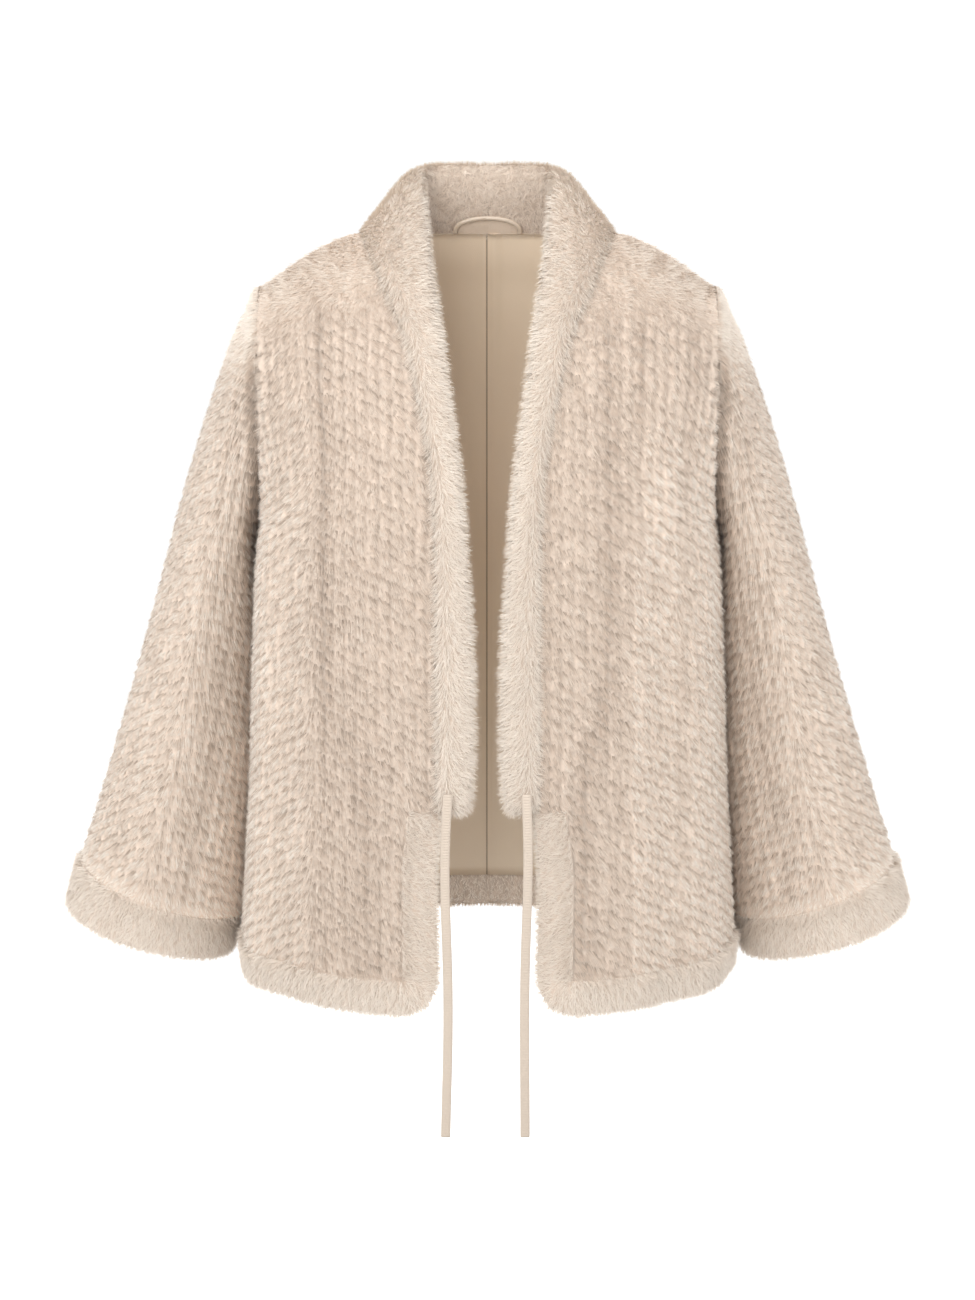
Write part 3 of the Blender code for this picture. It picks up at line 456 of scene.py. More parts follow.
def back_grid():
    """The right half of the back's outer face, from its middle to the side."""
    shares = list(np.linspace(0, 0.42, NECK_COLUMNS + 1)) + list(np.linspace(0.42, 1, SHOULDER_COLUMNS + 1))[1:]
    top = np.concatenate([PANEL_SEAM[NECK_STATION:][::-1], front_grid(((0, 1, 0),))[1:, -1]])
    columns = []
    for row in range(UNDERARM_ROW + 1):
        _, side_x, side_y, _, _, back_y = body_section(row_height(row, 0))
        start = np.array([0.0, back_y, row_height(row, 1)])
        end = np.array([side_x, side_y, row_height(row, 0.5)])
        rise = (row / UNDERARM_ROW) ** 2
        leave = unit(mixed((-0.49, 0.87, 0), (-0.06, 0.998, 0.0), rise))
        columns.append(bezier((start, start + (0.120, 0, 0), end + leave * mixed(0.070, 0.100, rise), end), shares))
    low = columns[-1]
    across = np.array(shares)[:, None] ** (1.0, 2.4, 1.6)
    for row in range(UNDERARM_ROW + 1, ROWS):
        turn = (row - UNDERARM_ROW) / ARMHOLE_ROWS
        up = np.array([turn, turn**2.4, turn])
        middle = mixed(low[0], top[0], np.array([turn, turn**2.2, turn**0.96]))
        ends = mixed(middle, armhole_point(turn, back=True), across)
        corners = mixed(mixed(low[0], top[0], up), mixed(low[-1], top[-1], up), across)
        columns.append(mixed(low, top, up) + ends - corners)
    return with_folds(np.array(columns).transpose(1, 0, 2), BACK_FOLDS, shares)


def inward(grid, back):
    """The way from the outer face into the wall."""
    ways = normals_of(grid)
    if np.mean(ways[:, :UNDERARM_ROW, 1]) * (1 if back else -1) > 0:
        ways = -ways
    ways[-1, : UNDERARM_ROW + 1] = (-0.90, -0.436, 0.0)
    ways[NECK_COLUMNS if back else 0 :, -1] = (-0.3, 0, -0.95)
    if back:
        ways[: NECK_COLUMNS + 1, -1] = -SEAM_OUT[NECK_STATION:][::-1]
    else:
        ways[0, NOTCH_ROW:] = -SEAM_OUT[: NECK_STATION + 1]
    ways[-1, UNDERARM_ROW:] = (ARMHOLE_MIDDLE - grid[-1, UNDERARM_ROW:]) * (0, 1, 1)
    return unit(ways)


def whole_back():
    half = back_grid()
    ways = inward(half, True)
    ways[0] = unit(ways[0] * (0, 1, 1))
    return np.concatenate([half[::-1] * MIRROR, half[1:]]), np.concatenate([ways[::-1] * MIRROR, ways[1:]])


def sleeve_grid():
    """The right sleeve's outer face and its inward ways: columns round it from the underarm by the front."""
    around, rings = 2 * ARMHOLE_ROWS, []
    for row, (outer_x, outer_z, inner_x, inner_z, mid_y, half_depth) in enumerate(SLEEVE_SECTIONS):
        outer, inner = np.array([outer_x, mid_y, outer_z]), np.array([inner_x, mid_y, inner_z])
        middle, half = (outer + inner) / 2, (outer - inner) / 2
        drop = 0.009 * (row / (len(SLEEVE_SECTIONS) - 1)) ** 2
        ring = []
        for k in range(around):
            turn = k / ARMHOLE_ROWS
            if row == 0:
                point = armhole_point(2 - turn if turn > 1 else turn, turn > 1) + (0.0006, 0, 0)
            else:
                angle = math.pi * (turn - 0.5)
                sway = math.copysign(abs(math.cos(angle)) ** 0.9, math.cos(angle))
                point = middle + half * math.sin(angle) + (0, -half_depth * sway, -drop * max(sway, 0))
            ring.append(point)
        rings.append(ring)
    grid = np.array(rings).transpose(1, 0, 2)
    ways = normals_of(grid, closed=True)
    if np.mean(np.sum(ways * (grid.mean(axis=0)[None] - grid), axis=2)) < 0:
        ways = -ways
    fade = np.sin(np.pi * np.clip(np.arange(grid.shape[1]) / (grid.shape[1] + 1.0), 0, 1))
    grid = grid - ways * (hills(np.arange(around) / around, SLEEVE_FOLDS)[:, None] * fade)[:, :, None]
    ways[:, 0] = unit((ARMHOLE_MIDDLE - grid[:, 0]) * (0, 1, 1))
    return grid, ways


# ---------------------------------------------------------------- the knit and its hair
COLUMN = 0.0103  # from one column of tufts to the next
ROW = 0.0106  # from one row to the next
PUFF = 0.0025  # how high a tuft stands
SINK = 0.0032  # depth of the ground under the hair's face, in the knit
PLUSH_SINK = 0.0042  # and in the plush borders
ROOT_DEPTH = 0.0006  # how far a hair's root is under the ground's face
CLUMP_WIDTH, CLUMP_LENGTH = 0.0034, 0.006  # hairs in one such patch of plush lean alike
HAIR_TONES = np.array((0.84, 0.84, 1.03))  # of a hair's two corners at its root and of its tip
SPREAD = 1.0  # share of the hairs that are made


def hashed(a, b, salt=0.0):
    """A fixed number from 0 to 1 for each pair of whole numbers."""
    mixed_up = np.sin(np.asarray(a) * 12.9898 + np.asarray(b) * 78.233 + salt * 37.719) * 43758.5453
    return mixed_up - np.floor(mixed_up)


def tuft(u, v):
    """Number of the tuft's column and row at a place on the cloth, and the place in it (0 to 1, down)."""
    u = u + 0.0007 * np.sin(v * 71 + 2.3 * np.sin(u * 37)) + 0.0005 * np.sin(v * 233 + u * 90)
    cu = u / COLUMN
    column = np.floor(cu)
    sway = 0.10 * np.sin(u * 310 + v * 97) + 0.08 * np.sin(v * 260 + column * 2.1)
    cv = v / ROW + 0.12 * (hashed(column, 7.0) - 0.5) + sway
    row = np.floor(cv)
    return column, row, cu - column, cv - row


def relief(u, v, knit):
    """Height of the knit's puffs over the ground."""
    column, row, fu, fv = tuft(u, v)
    across = 1 - np.abs(2 * fu - 1) ** 2.2
    down = (0.50 + 0.50 * fv) * (1 - smooth_step(fv, 0.82, 1.0)) * smooth_step(fv, -0.25, 0.20)
    size = 0.75 + 0.5 * hashed(column, row)
    return knit * (PUFF * across * down * size)


class Cover:
    """A face of the coat that carries hair: grids of places and of what the hair does there."""

    def __init__(self, points, out, u, v, down, side, **fields):
        self.points, self.u, self.v = points, u, v
        self.out, self.down, self.side = unit(out), unit(down), unit(side)
        self.fields = {k: np.broadcast_to(np.asarray(f, float), u.shape) for k, f in fields.items()}


def hair(name, cover, count, seed, side, mask=None):
    """A mesh of flat hairs on a cover, one triangle each, denser where the field want is higher."""
    count = int(count * SPREAD)
    rng = np.random.default_rng(SEED * 1000 + seed)
    p = cover.points
    a, b = p[1:, :-1] - p[:-1, :-1], p[:-1, 1:] - p[:-1, :-1]
    weight = np.linalg.norm(np.cross(a, b), axis=2) * cover.fields["want"][:-1, :-1]
    if mask is not None:
        weight = weight * mask
    total = np.cumsum(weight.ravel())
    spots = np.searchsorted(total, (np.arange(count) + rng.random(count)) / count * total[-1])
    i, j = np.divmod(np.minimum(spots, weight.size - 1), weight.shape[1])
    x, y = rng.random(count), rng.random(count)
    names = sorted(cover.fields)
    stack = [p, cover.out, cover.down, cover.side, cover.u[..., None], cover.v[..., None]]
    stack = np.concatenate(stack + [cover.fields[k][..., None] for k in names], axis=2)
    corners = (stack[i, j], stack[i + 1, j], stack[i + 1, j + 1], stack[i, j + 1])
    shares = ((1 - x) * (1 - y), x * (1 - y), x * y, (1 - x) * y)
    at = sum(c * s[:, None] for c, s in zip(corners, shares))
    root, out, down, aside = at[:, :3], unit(at[:, 3:6]), unit(at[:, 6:9]), unit(at[:, 9:12])
    u, v = at[:, 12], at[:, 13]
    field = {k: at[:, 14 + n] for n, k in enumerate(names)}
    knit, sway, long, lift, tone = (field[k] for k in ("knit", "sway", "long", "lift", "tone"))
    column, row, fu, fv = tuft(u, v)
    # Hairs keep off the lines between the tufts, and stop short of the next ones.
    shift_u = knit * 0.06 * (0.5 - fu)
    root = root + aside * (shift_u * COLUMN)[:, None]
    fu = fu + shift_u
    height = relief(u + shift_u * COLUMN, v, knit)
    root = root + out * (height - ROOT_DEPTH)[:, None]
    clump_u = np.floor(u / CLUMP_WIDTH + 0.5 * hashed(np.floor(v / CLUMP_LENGTH), 3.0))
    clump_v = np.floor(v / CLUMP_LENGTH + 0.7 * hashed(clump_u, 5.0))
    clump = hashed(clump_u, clump_v, 1.0) - 0.5
    own = hashed(column, row, 2.0) - 0.5
    angle = sway + rng.normal(0, 1, count) * mixed(0.30, 0.11, knit) + mixed(0.95 * clump, 0.26 * own, knit)
    if "curl" in field:
        angle = angle + field["curl"] * (2.6 * clump + 0.5 * rng.normal(0, 1, count))
    rise = lift * mixed(1.0, 1.25 - 0.75 * fv, knit) + rng.normal(0, 1, count) * mixed(0.16, 0.12, knit)
    length = long * (0.78 + 0.42 * rng.random(count))
    room = np.where(angle > 0, 1 - fu, fu) * COLUMN + 0.0022
    tufted = np.minimum((1 - fv) * ROW * 1.05 + 0.0012, room / np.maximum(np.abs(np.sin(angle)), 0.15))
    length = mixed(length, np.minimum(length, tufted * (0.85 + 0.3 * rng.random(count))), knit)
    lying = down * np.cos(angle)[:, None] + aside * np.sin(angle)[:, None]
    way = lying * np.cos(rise)[:, None] + out * np.sin(rise)[:, None]
    tip = root + way * length[:, None]
    flat = unit(np.cross(way, out))
    roll = rng.normal(0, 0.45, count)[:, None]
    flat = unit(flat * np.cos(roll) + np.cross(flat, way) * np.sin(roll))
    half = (field["width"] * (0.7 + 0.6 * rng.random(count)))[:, None] / 2
    left, right = root - flat * half, root + flat * half
    facing = unit(np.cross(right - left, tip - left))
    turned = np.sum(facing * out, axis=1) < 0
    left[turned], right[turned] = right[turned], left[turned].copy()
    facing[turned] *= -1
    shade = tone * (0.95 + 0.09 * rng.random(count)) * (1 + mixed(0.07 * clump, 0.08 * own, knit))
    between, above = smooth_step(np.abs(2 * fu - 1), 0.74, 1.0), 1 - smooth_step(fv, 0.04, 0.26)
    gap_shade = 0.13 + 0.18 * between + 0.37 * above
    shade = shade * (1 - knit * gap_shade)  # painted shade: the lines between the tufts and under the tuft above are darker and a little warmer
    # Hairs darkened by painted shade turn warmer too, and curled ones a little warmer still.
    warmth = np.clip(1 - shade - 0.04 * knit, 0.0, 0.26) * 32 + 2.4 * field.get("curl", 0.0)
    warm = np.array((1.0, 0.984, 0.972)) ** warmth[:, None]
    colour = FUR * shade[:, None] * warm
    points = np.stack([left, right, tip], 1)
    normals = np.repeat(unit(mixed(facing, out, 0.55))[:, None], 3, axis=1)
    if side < 0:
        points, normals = points[:, [1, 0, 2]] * MIRROR, normals * MIRROR
    mesh = new_mesh(name, points.reshape(-1, 3), [np.arange(3 * count).reshape(-1, 3)])
    mesh.normals_split_custom_set_from_vertices(normals.reshape(-1, 3))
    paint(mesh, (colour[:, None] * HAIR_TONES[:, None]).reshape(-1, 3))
    return add(name, mesh, STRANDS)


def stitch(fine, coarse, step):
    """Triangles between a line of points and one with every step-th of them."""
    faces = []
    for k in range(len(coarse) - 1):
        f = fine[k * step : (k + 1) * step + 1]
        half = step // 2
        faces += [(f[n], f[n + 1], coarse[k]) for n in range(half)]
        faces.append((f[half], coarse[k + 1], coarse[k]))
        faces += [(f[n], f[n + 1], coarse[k + 1]) for n in range(half, step)]
    return faces


def shell(name, outer, inner, step, tones, side, slot, corners=(), closed=False, tube=False, inner_tone=UNDER):
    """A closed shell: a fine outer face, an inner one with every step-th of its points, and rims between.

    corners is the way round the cloth's edge, in fine columns and rows. closed joins the last column to
    the first, and tube the last row to the first.
    """
    n, m = outer.shape[:2]
    count = n * m
    cn, cm = inner.shape[:2]
    fine, coarse = np.arange(count).reshape(n, m), count + np.arange(cn * cm).reshape(cn, cm)

    def quads(index, flip):
        k = ringed(index) if closed else index
        k = ringed(k, 1) if tube else k
        cells = np.stack([k[:-1, :-1], k[1:, :-1], k[1:, 1:], k[:-1, 1:]], -1)
        return cells[..., ::-1] if flip else cells

    out_cells, in_cells, rims = quads(fine, False), quads(coarse, True), []
    if corners:
        keep = np.ones(out_cells.shape[:2], bool)
        xs, ys = [c[0] for c in corners], [c[1] for c in corners]
        keep[: min(xs)] = keep[max(xs) :] = False
        keep[:, : min(ys)] = keep[:, max(ys) :] = False
        if len(corners) > 4:
            cut_x, cut_y = sorted(set(xs))[1], sorted(set(ys))[1]
            keep[:cut_x, :cut_y] = False
        out_cells = out_cells[keep]
        in_cells = in_cells[keep[::step, ::step]]
        for start, end in zip(corners, list(corners[1:]) + [corners[0]]):
            spots = max(abs(end[0] - start[0]), abs(end[1] - start[1])) + 1
            line = np.linspace(start, end, spots).round().astype(int)
            rims += stitch(fine[tuple(line.T)], coarse[tuple(line[::step].T // step)], step)
    elif closed != tube:
        grids = (fine, coarse) if tube else (fine.T, coarse.T)
        for end in (0, -1):
            faces = stitch(*(ringed(k[end]) for k in grids), step)
            rims += faces if tube == (end == -1) else [f[::-1] for f in faces]
    points = np.concatenate([outer.reshape(-1, 3), inner.reshape(-1, 3)])
    used = np.unique(np.concatenate([out_cells.ravel(), in_cells.ravel()]))
    place = np.full(len(points), -1)
    place[used] = np.arange(len(used))
    faces = [place[out_cells.reshape(-1, 4)], place[in_cells.reshape(-1, 4)]]
    if rims:
        faces.append(place[np.array(rims)])
    colours = np.concatenate([np.reshape(tones, (-1, 1)) * UNDER, np.tile(inner_tone, (cn * cm, 1))])[used]
    points = points[used]
    if side < 0:
        points = points * MIRROR
        faces = [f[:, ::-1] for f in faces]
    mesh = new_mesh(name, points, faces)
    mesh.calc_loop_triangles()
    corner_points = points[np.array([t.vertices[:] for t in mesh.loop_triangles])]
    volume = np.einsum("ij,ij->i", corner_points[:, 0], np.cross(corner_points[:, 1], corner_points[:, 2])).sum()
    if volume < 0:
        mesh.flip_normals()
    paint(mesh, colours)
    return add(name, mesh, GROUND)


def steps_of(counts):
    """Fractional grid numbers, with a count of steps in each cell."""
    places = [k + np.arange(c) / c for k, c in enumerate(counts)]
    return np.concatenate(places + [[float(len(counts))]])


def cloth(node):
    """Hides the solid that a piece of cloth takes the place of."""
    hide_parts(node)


KNIT, PLUSH = "knit_fur", "plush_fur"
INSIDE_TONE = np.array((0.62, 0.50, 0.37))
RELIEF_SHARE = 0.9  # of the puffs' height, in the ground under the hairs
PLUSH_CLOTH = 0.0016  # thickness of the plush borders' cloth
HAIR_LIFT = 0.38  # how far the hairs of the panels stand off, in radians


def knit_shell(name, bed, out, u, v, knit, tone, inner, step, side, **edges):
    """The cloth of a knitted panel: its puffs in relief over the bed, with painted shade between them."""
    height = relief(u, v, knit)
    outer = bed + out * height[..., None] * RELIEF_SHARE
    # Painted shade: the knit's ground is darker where its puffs are low.
    tones = tone * (0.78 + 0.26 * height / PUFF * knit + 0.20 * (1 - knit))
    inner = inner[::step, ::step]
    return shell(f"{name}_cloth", outer, inner, step, tones, side, KNIT, inner_tone=INSIDE_TONE, **edges)


def depths_under(xs, ys, rows, sides):
    """Depth of a panel's ground: full in its field, none along its armhole edges and its top."""
    above = smooth_step(ys, UNDERARM_ROW - 0.5, UNDERARM_ROW + 1.5)[None]
    away = np.min([smooth_step(np.abs(xs - edge), 0.0, 1.3) for edge in sides], axis=0)[:, None]
    top = smooth_step(rows - 1 - ys, 0.0, 1.3)[None]
    return (SINK * (1 - (1 - away) * above) * top)[..., None]


def shoulder_shape(from_neck, near, reach, from_arm, z, ys):
    """How far the shoulder's face moves in: out beside the neck, by the share near at its seam, in by the arm."""
    share = near + (1 - near) * smooth_step(from_neck, 0.0, reach)
    bank = 0.0055 * share * bell(from_neck, 0.050) * smooth_step(ys, ROWS - 5.0, ROWS - 1.5)[None]
    return 0.0034 * bell(from_arm, 0.024) * smooth_step(z, -0.065, -0.020) - bank


def shoulder_knit(points):
    """Where the knit shows on the body: 0 on the plush shoulders, 1 below them."""
    line = -0.036 - 0.026 * smooth_step(np.abs(points[..., 0]), 0.14, 0.21)
    return 1 - smooth_step(points[..., 2], line - 0.035, line + 0.012)


def build_front(label):
    side = 1 if label == "right" else -1
    grid = front_grid(RIGHT_FRONT_FOLDS if side > 0 else LEFT_FRONT_FOLDS)
    ways = inward(grid, False)
    step = 8  # fine points to a column of the grid, and to a short row
    xs = steps_of([step] * (grid.shape[0] - 1))
    ys = steps_of([step] + [2 * step] * (UNDERARM_ROW - 1) + [step] * ARMHOLE_ROWS)
    face, into = sample(grid, xs, ys), unit(sample(ways, xs, ys))
    out = outward_normals(face, into)
    down, aside = -np.gradient(face, axis=1), np.gradient(face, axis=0)
    u = face[0, :, 0] + run_over(face[..., :2])
    z = face[..., 2]
    knit = shoulder_knit(face) * smooth_step(z, row_height(1, 0) - 0.004, row_height(1, 0) + 0.010)
    if side > 0:
        lean, middle = 0.42, 0.050
        crease_shades = (
            (mixed(0.103, 0.081, smooth_step(-z, 0.34, 0.46)), 0.0075, 0.13),
            (0.130, 0.0045, 0.14 * (1 - smooth_step(-z, 0.20, 0.30))),
            (0.178, 0.0060, 0.08),
        )
        swell_light = (0.118, 0.128, 0.13)
    else:
        middle = 0.160
        lean = 0.46 * np.tanh((u - middle) / 0.006)
        crease_shades = (
            (0.1435, 0.0055, 0.17 * (1 - smooth_step(-z, 0.34, 0.46))),
            (mixed(0.128, 0.105, smooth_step(-z, 0.34, 0.50)), 0.0140, 0.09 * smooth_step(-z, 0.34, 0.42)),
        )
        swell_light = (0.150, 0.175, 0.09)
    v = -z - 0.44 * np.sqrt((u - middle) ** 2 + 0.005**2)
    plush = 1 - knit
    high = smooth_step(z, -0.3, -0.1)
    over = np.broadcast_to(smooth_step(ys, ROWS - 5.5, ROWS - 1.5)[None], z.shape)
    lean = lean * knit + plush * mixed(lean, mixed(0.75, 1.30, over), high)
    at_armhole = smooth_step(xs, xs[-1] - 1.6, xs[-1] - 0.3)[:, None]
    at_armhole = at_armhole * smooth_step(ys, UNDERARM_ROW + 1.0, UNDERARM_ROW + 4.0)[None]
    lean = mixed(lean, 1.25, at_armhole)
    # Painted shade in the creases of the front's folds, and painted light on its outer swell.
    tone = 1.0 - hills(u, crease_shades) * knit
    tone = tone * (1 + swell_light[2] * smooth_step(u, *swell_light[:2]) * smooth_step(-z, 0.08, 0.20))
    # Painted shade in the crease by the armhole.
    crease_shadow = smooth_step(xs, xs[-1] - 0.55, xs[-1] - 0.05)[:, None]
    crease_shadow = crease_shadow * smooth_step(ys, UNDERARM_ROW - 1.0, UNDERARM_ROW)[None]
    tone = tone * (1 - 0.42 * crease_shadow * smooth_step(-z, 0.07, 0.12))
    # A little painted light where the front turns to the side; painted shade on the plush shoulder's top and on the
    # knit facing forward.
    turned = smooth_step(u, 0.185, 0.235)
    tone = tone * (1 + 0.04 * turned * smooth_step(-z, 0.15, 0.25))
    tone = tone * (1 - 0.055 * plush * high) * (1 - 0.04 * knit * (1 - turned))
    # Painted shade on the front's lower part along the band.
    shade_by_band = bell(u - u[0], 0.004) * (np.arange(len(ys)) >= np.searchsorted(ys, NOTCH_ROW))
    tone = tone * (1 - 0.16 * shade_by_band * (1 - high))
    side_swell = 0.0030 * smooth_step(u, 0.18, 0.22) * (1 - smooth_step(z, -0.25, -0.21)) * smooth_step(z, -0.50, -0.34)
    shoulder = shoulder_shape(u - u[0], 0.7, 0.010, u[-1] - u, z, ys)
    bed = face + into * (depths_under(xs, ys, ROWS, [xs[-1]]) + (shoulder - side_swell)[..., None])
    at_hem = (0.88 + 0.12 * smooth_step(ys, 0.0, 1.2))[None]
    cover = Cover(
        bed, out, u, v, down, aside,
        knit=knit, sway=lean, long=mixed(0.0080, 0.0084, knit) * at_hem, lift=HAIR_LIFT, tone=tone,
        want=1.0 + 0.35 * plush + 1.2 * at_armhole, width=mixed(0.00062, 0.00068, knit), curl=0.20 * plush * high,
    )
    rows = {row: int(np.searchsorted(ys, row)) for row in (1, NOTCH_ROW, ROWS - 1)}
    last = len(xs) - 1
    corners = [(step, rows[1]), (last, rows[1]), (last, rows[ROWS - 1]), (0, rows[ROWS - 1])]
    corners += [(0, rows[NOTCH_ROW]), (step, rows[NOTCH_ROW])]
    mask = np.ones((last, len(ys) - 1))
    mask[:, : rows[1]] = 0
    mask[:step, : rows[NOTCH_ROW]] = 0
    fur = hair(f"front_{label}_hair", cover, 82000, 1 + (side > 0), side, mask)
    inner = face + into * KNIT_WALL
    panel = knit_shell(f"front_{label}", bed, out, u, v, knit, tone, inner, step, side, corners=corners)
    cloth(f"front_{label}")
    return grid, ways


def off_middle(out, rings):
    """The normals of a tube of rings, turned away from its middle line."""
    return -out if np.sum(out * (rings - rings.mean(axis=1, keepdims=True))) < 0 else out


def plush_shell(name, rings, out, tone, side, closed=False):
    """The cloth of a plush tube, with every second point inside."""
    inner = (rings - out * PLUSH_CLOTH)[::2, ::2]
    tones = np.full(rings.shape[:2], tone)
    return shell(f"{name}_cloth", rings, inner, 2, tones, side, PLUSH, closed=closed, tube=True)


def border_strip(a, b, into_a, into_b):
    """Rings of a plump strip from its seam (a) over its free edge (b) to the seam's inner side."""
    edge = unit(b - a)
    rings = []
    for share in np.linspace(0, 1, 8):
        crown = 0.0012 * math.sin(math.pi * min(share * 1.1, 1.0)) + 0.0008 * (1 - share) ** 2
        into = unit(mixed(into_a, into_b, share))
        rings.append(mixed(a, b, share) + into * (PLUSH_SINK - PROUD - crown))
    for angle in np.radians((60, 30, 0, -30, -60)):
        deep = PLUSH_WALL / 2 - PROUD - (PLUSH_WALL / 2 - PLUSH_SINK) * math.sin(angle)
        rings.append(b + edge * 0.0048 * math.cos(angle) + into_b * deep)
    for share in np.linspace(1, 0, 7):
        into = unit(mixed(into_a, into_b, share))
        rings.append(mixed(a, b, share) + into * (PLUSH_WALL - PROUD - 0.0030))
    return np.array(rings).transpose(1, 0, 2)


def build_strip(name, a, b, into_a, into_b, count, seed, side, sway, closed=False):
    """A plush border from its seam (a) to its free edge (b): its tube and its hair, with the solid in its place hidden.
    """
    rings = border_strip(a, b, into_a, into_b)
    if closed:
        turned = np.concatenate([rings[-1:], rings, rings[:1]])
        across = (turned[2:] - turned[:-2]) / 2
    else:
        across = np.gradient(rings, axis=0)
    round_it = np.gradient(rings, axis=1)
    out = unit(np.cross(across, round_it))
    out = off_middle(out, rings)
    fur_rings, fur_out, fur_across, fur_down = (ringed(k) if closed else k for k in (rings, out, across, round_it))
    ring = np.arange(rings.shape[1])
    want = np.interp(ring, (0, 1.5, 9, 13, 19), (2.3, 1.2, 1.25, 0.8, 0.45))[None]
    lift = np.interp(ring, (0, 1.5, 6, 10, 14, 19), (0.95, 0.46, 0.38, 0.46, 0.36, 0.30))[None]
    long = np.interp(ring, (0, 6, 10, 14, 19), (0.0086, 0.0080, 0.0062, 0.0064, 0.0066))[None]
    # Painted shade along the seam, under the cloth above it, and painted light on the strip's inner side, which lies in
    # shade.
    tone = np.interp(ring, (0, 2, 5, 9, 13, 19), (0.96, 0.985, 0.995, 1.0, 1.12, 1.12))[None]
    cover = Cover(
        fur_rings, fur_out, run_over(fur_rings), run_over(fur_rings, 1), fur_down, fur_across,
        knit=0.0, sway=sway, long=long, lift=lift, tone=tone, want=want,
        width=0.00066, curl=np.interp(ring, (0, 2), (0.3, 0.1))[None],
    )
    fur = hair(f"{name}_hair", cover, count, seed, side)
    strip = plush_shell(name, rings, out, 0.91, side, closed)
    cloth(name)


def build_front_border(label, grid, ways):
    side = 1 if label == "right" else -1
    n = grid.shape[0] - 1
    hem = np.linspace(n, 1, 97)
    corner = np.linspace(1, 0, 9)[1:]
    edge = np.linspace(1, NOTCH_ROW, 53)[1:]
    a_places = [(x, 1.0) for x in hem] + [(1.0, 1.0)] * (2 * len(corner)) + [(1.0, y) for y in edge]
    b_places = [(x, 0.0) for x in (*hem, *corner)] + [(0.0, y) for y in (*(1 - corner), *edge)]

    def at(table, places):
        return np.array([sample(table, [x], [y])[0, 0] for x, y in places])

    a, b = at(grid, a_places), at(grid, b_places)
    into_a, into_b = unit(at(ways, a_places)), unit(at(ways, b_places))
    ends = slice(0, len(a) - (len(a) - 1) % 2)
    a, b, into_a, into_b = a[ends], b[ends], into_a[ends], into_b[ends]
    name = f"front_border_{label}"
    build_strip(name, a, b, into_a, into_b, 22000, 11 + (side > 0), side, sway=-0.2)


def build_back():
    grid, ways = whole_back()
    columns = grid.shape[0] - 1
    step = 6
    xs = steps_of([step] * columns)
    ys = steps_of([step] + [2 * step] * (UNDERARM_ROW - 1) + [step] * ARMHOLE_ROWS)
    face, into = sample(grid, xs, ys), unit(sample(ways, xs, ys))
    out = outward_normals(face, into)
    middle = len(xs) // 2
    u = run_over(face[..., :2])
    u = u - u[middle]
    z = face[..., 2]
    v = -z - 0.44 * np.sqrt(u**2 + 0.005**2)
    low = row_height(1, 1)
    knit = shoulder_knit(face) * smooth_step(z, low - 0.004, low + 0.010)
    over = smooth_step(ys, ROWS - 5.5, ROWS - 1.5)[None]
    sway = mixed(0.42 * np.tanh(u / 0.008), 1.30 * np.tanh(u / 0.02), over)
    # Painted shade in the creases of the back's folds.
    crease_shades = ((0.052, 0.006, 0.10), (0.147, 0.006, 0.12), (0.205, 0.006, 0.08))
    tone = 1.0 - hills(np.abs(u), crease_shades) * knit
    from_neck = np.maximum(np.abs(u) - np.abs(u[middle + step * NECK_COLUMNS]), 0)
    from_arm = np.minimum(np.abs(u - u[0]), np.abs(u[-1] - u))
    shoulder = shoulder_shape(from_neck, 0.8, 0.020, from_arm, z, ys)
    bed = face + into * (depths_under(xs, ys, ROWS, [xs[0], xs[-1]]) + shoulder[..., None])
    cover = Cover(
        bed, out, u, v, -np.gradient(face, axis=1), np.gradient(face, axis=0),
        knit=knit, sway=sway, long=mixed(0.0080, 0.0086, knit), lift=HAIR_LIFT,
        tone=tone, want=1.0, width=mixed(0.00085, 0.00095, knit),
    )
    mask = np.ones((len(xs) - 1, len(ys) - 1))
    mask[:, :step] = 0
    fur = hair("back_hair", cover, 105000, 3, 1, mask)
    last = (len(xs) - 1, len(ys) - 1)
    corners = [(0, step), (last[0], step), last, (0, last[1])]
    inner = face + into * KNIT_WALL
    panel = knit_shell("back", bed, out, u, v, knit, tone, inner, step, 1, corners=corners)
    cloth("back")
    hem = np.linspace(0, columns, 241)
    a, b = sample(grid, hem, [1.0])[:, 0], sample(grid, hem, [0.0])[:, 0]
    into_a, into_b = unit(sample(ways, hem, [1.0])[:, 0]), unit(sample(ways, hem, [0.0])[:, 0])
    build_strip("back_hem_border", a, b, into_a, into_b, 26000, 13, 1, sway=0.0)
    build_lining(grid, ways)


LINING_DRAGS = (  # place, width, height, low end, high end
    (-0.030, 0.009, 0.0016, -0.50, -0.10),
    (0.027, 0.008, 0.0013, -0.62, -0.30),
    (0.046, 0.010, 0.0017, -0.35, -0.02),
    (-0.058, 0.012, 0.0020, -0.62, -0.25),
    (0.090, 0.014, 0.0022, -0.55, -0.15),
    (-0.105, 0.016, 0.0022, -0.48, -0.12),
    (0.140, 0.014, 0.0020, -0.60, -0.30),
    (-0.150, 0.014, 0.0020, -0.60, -0.28),
)


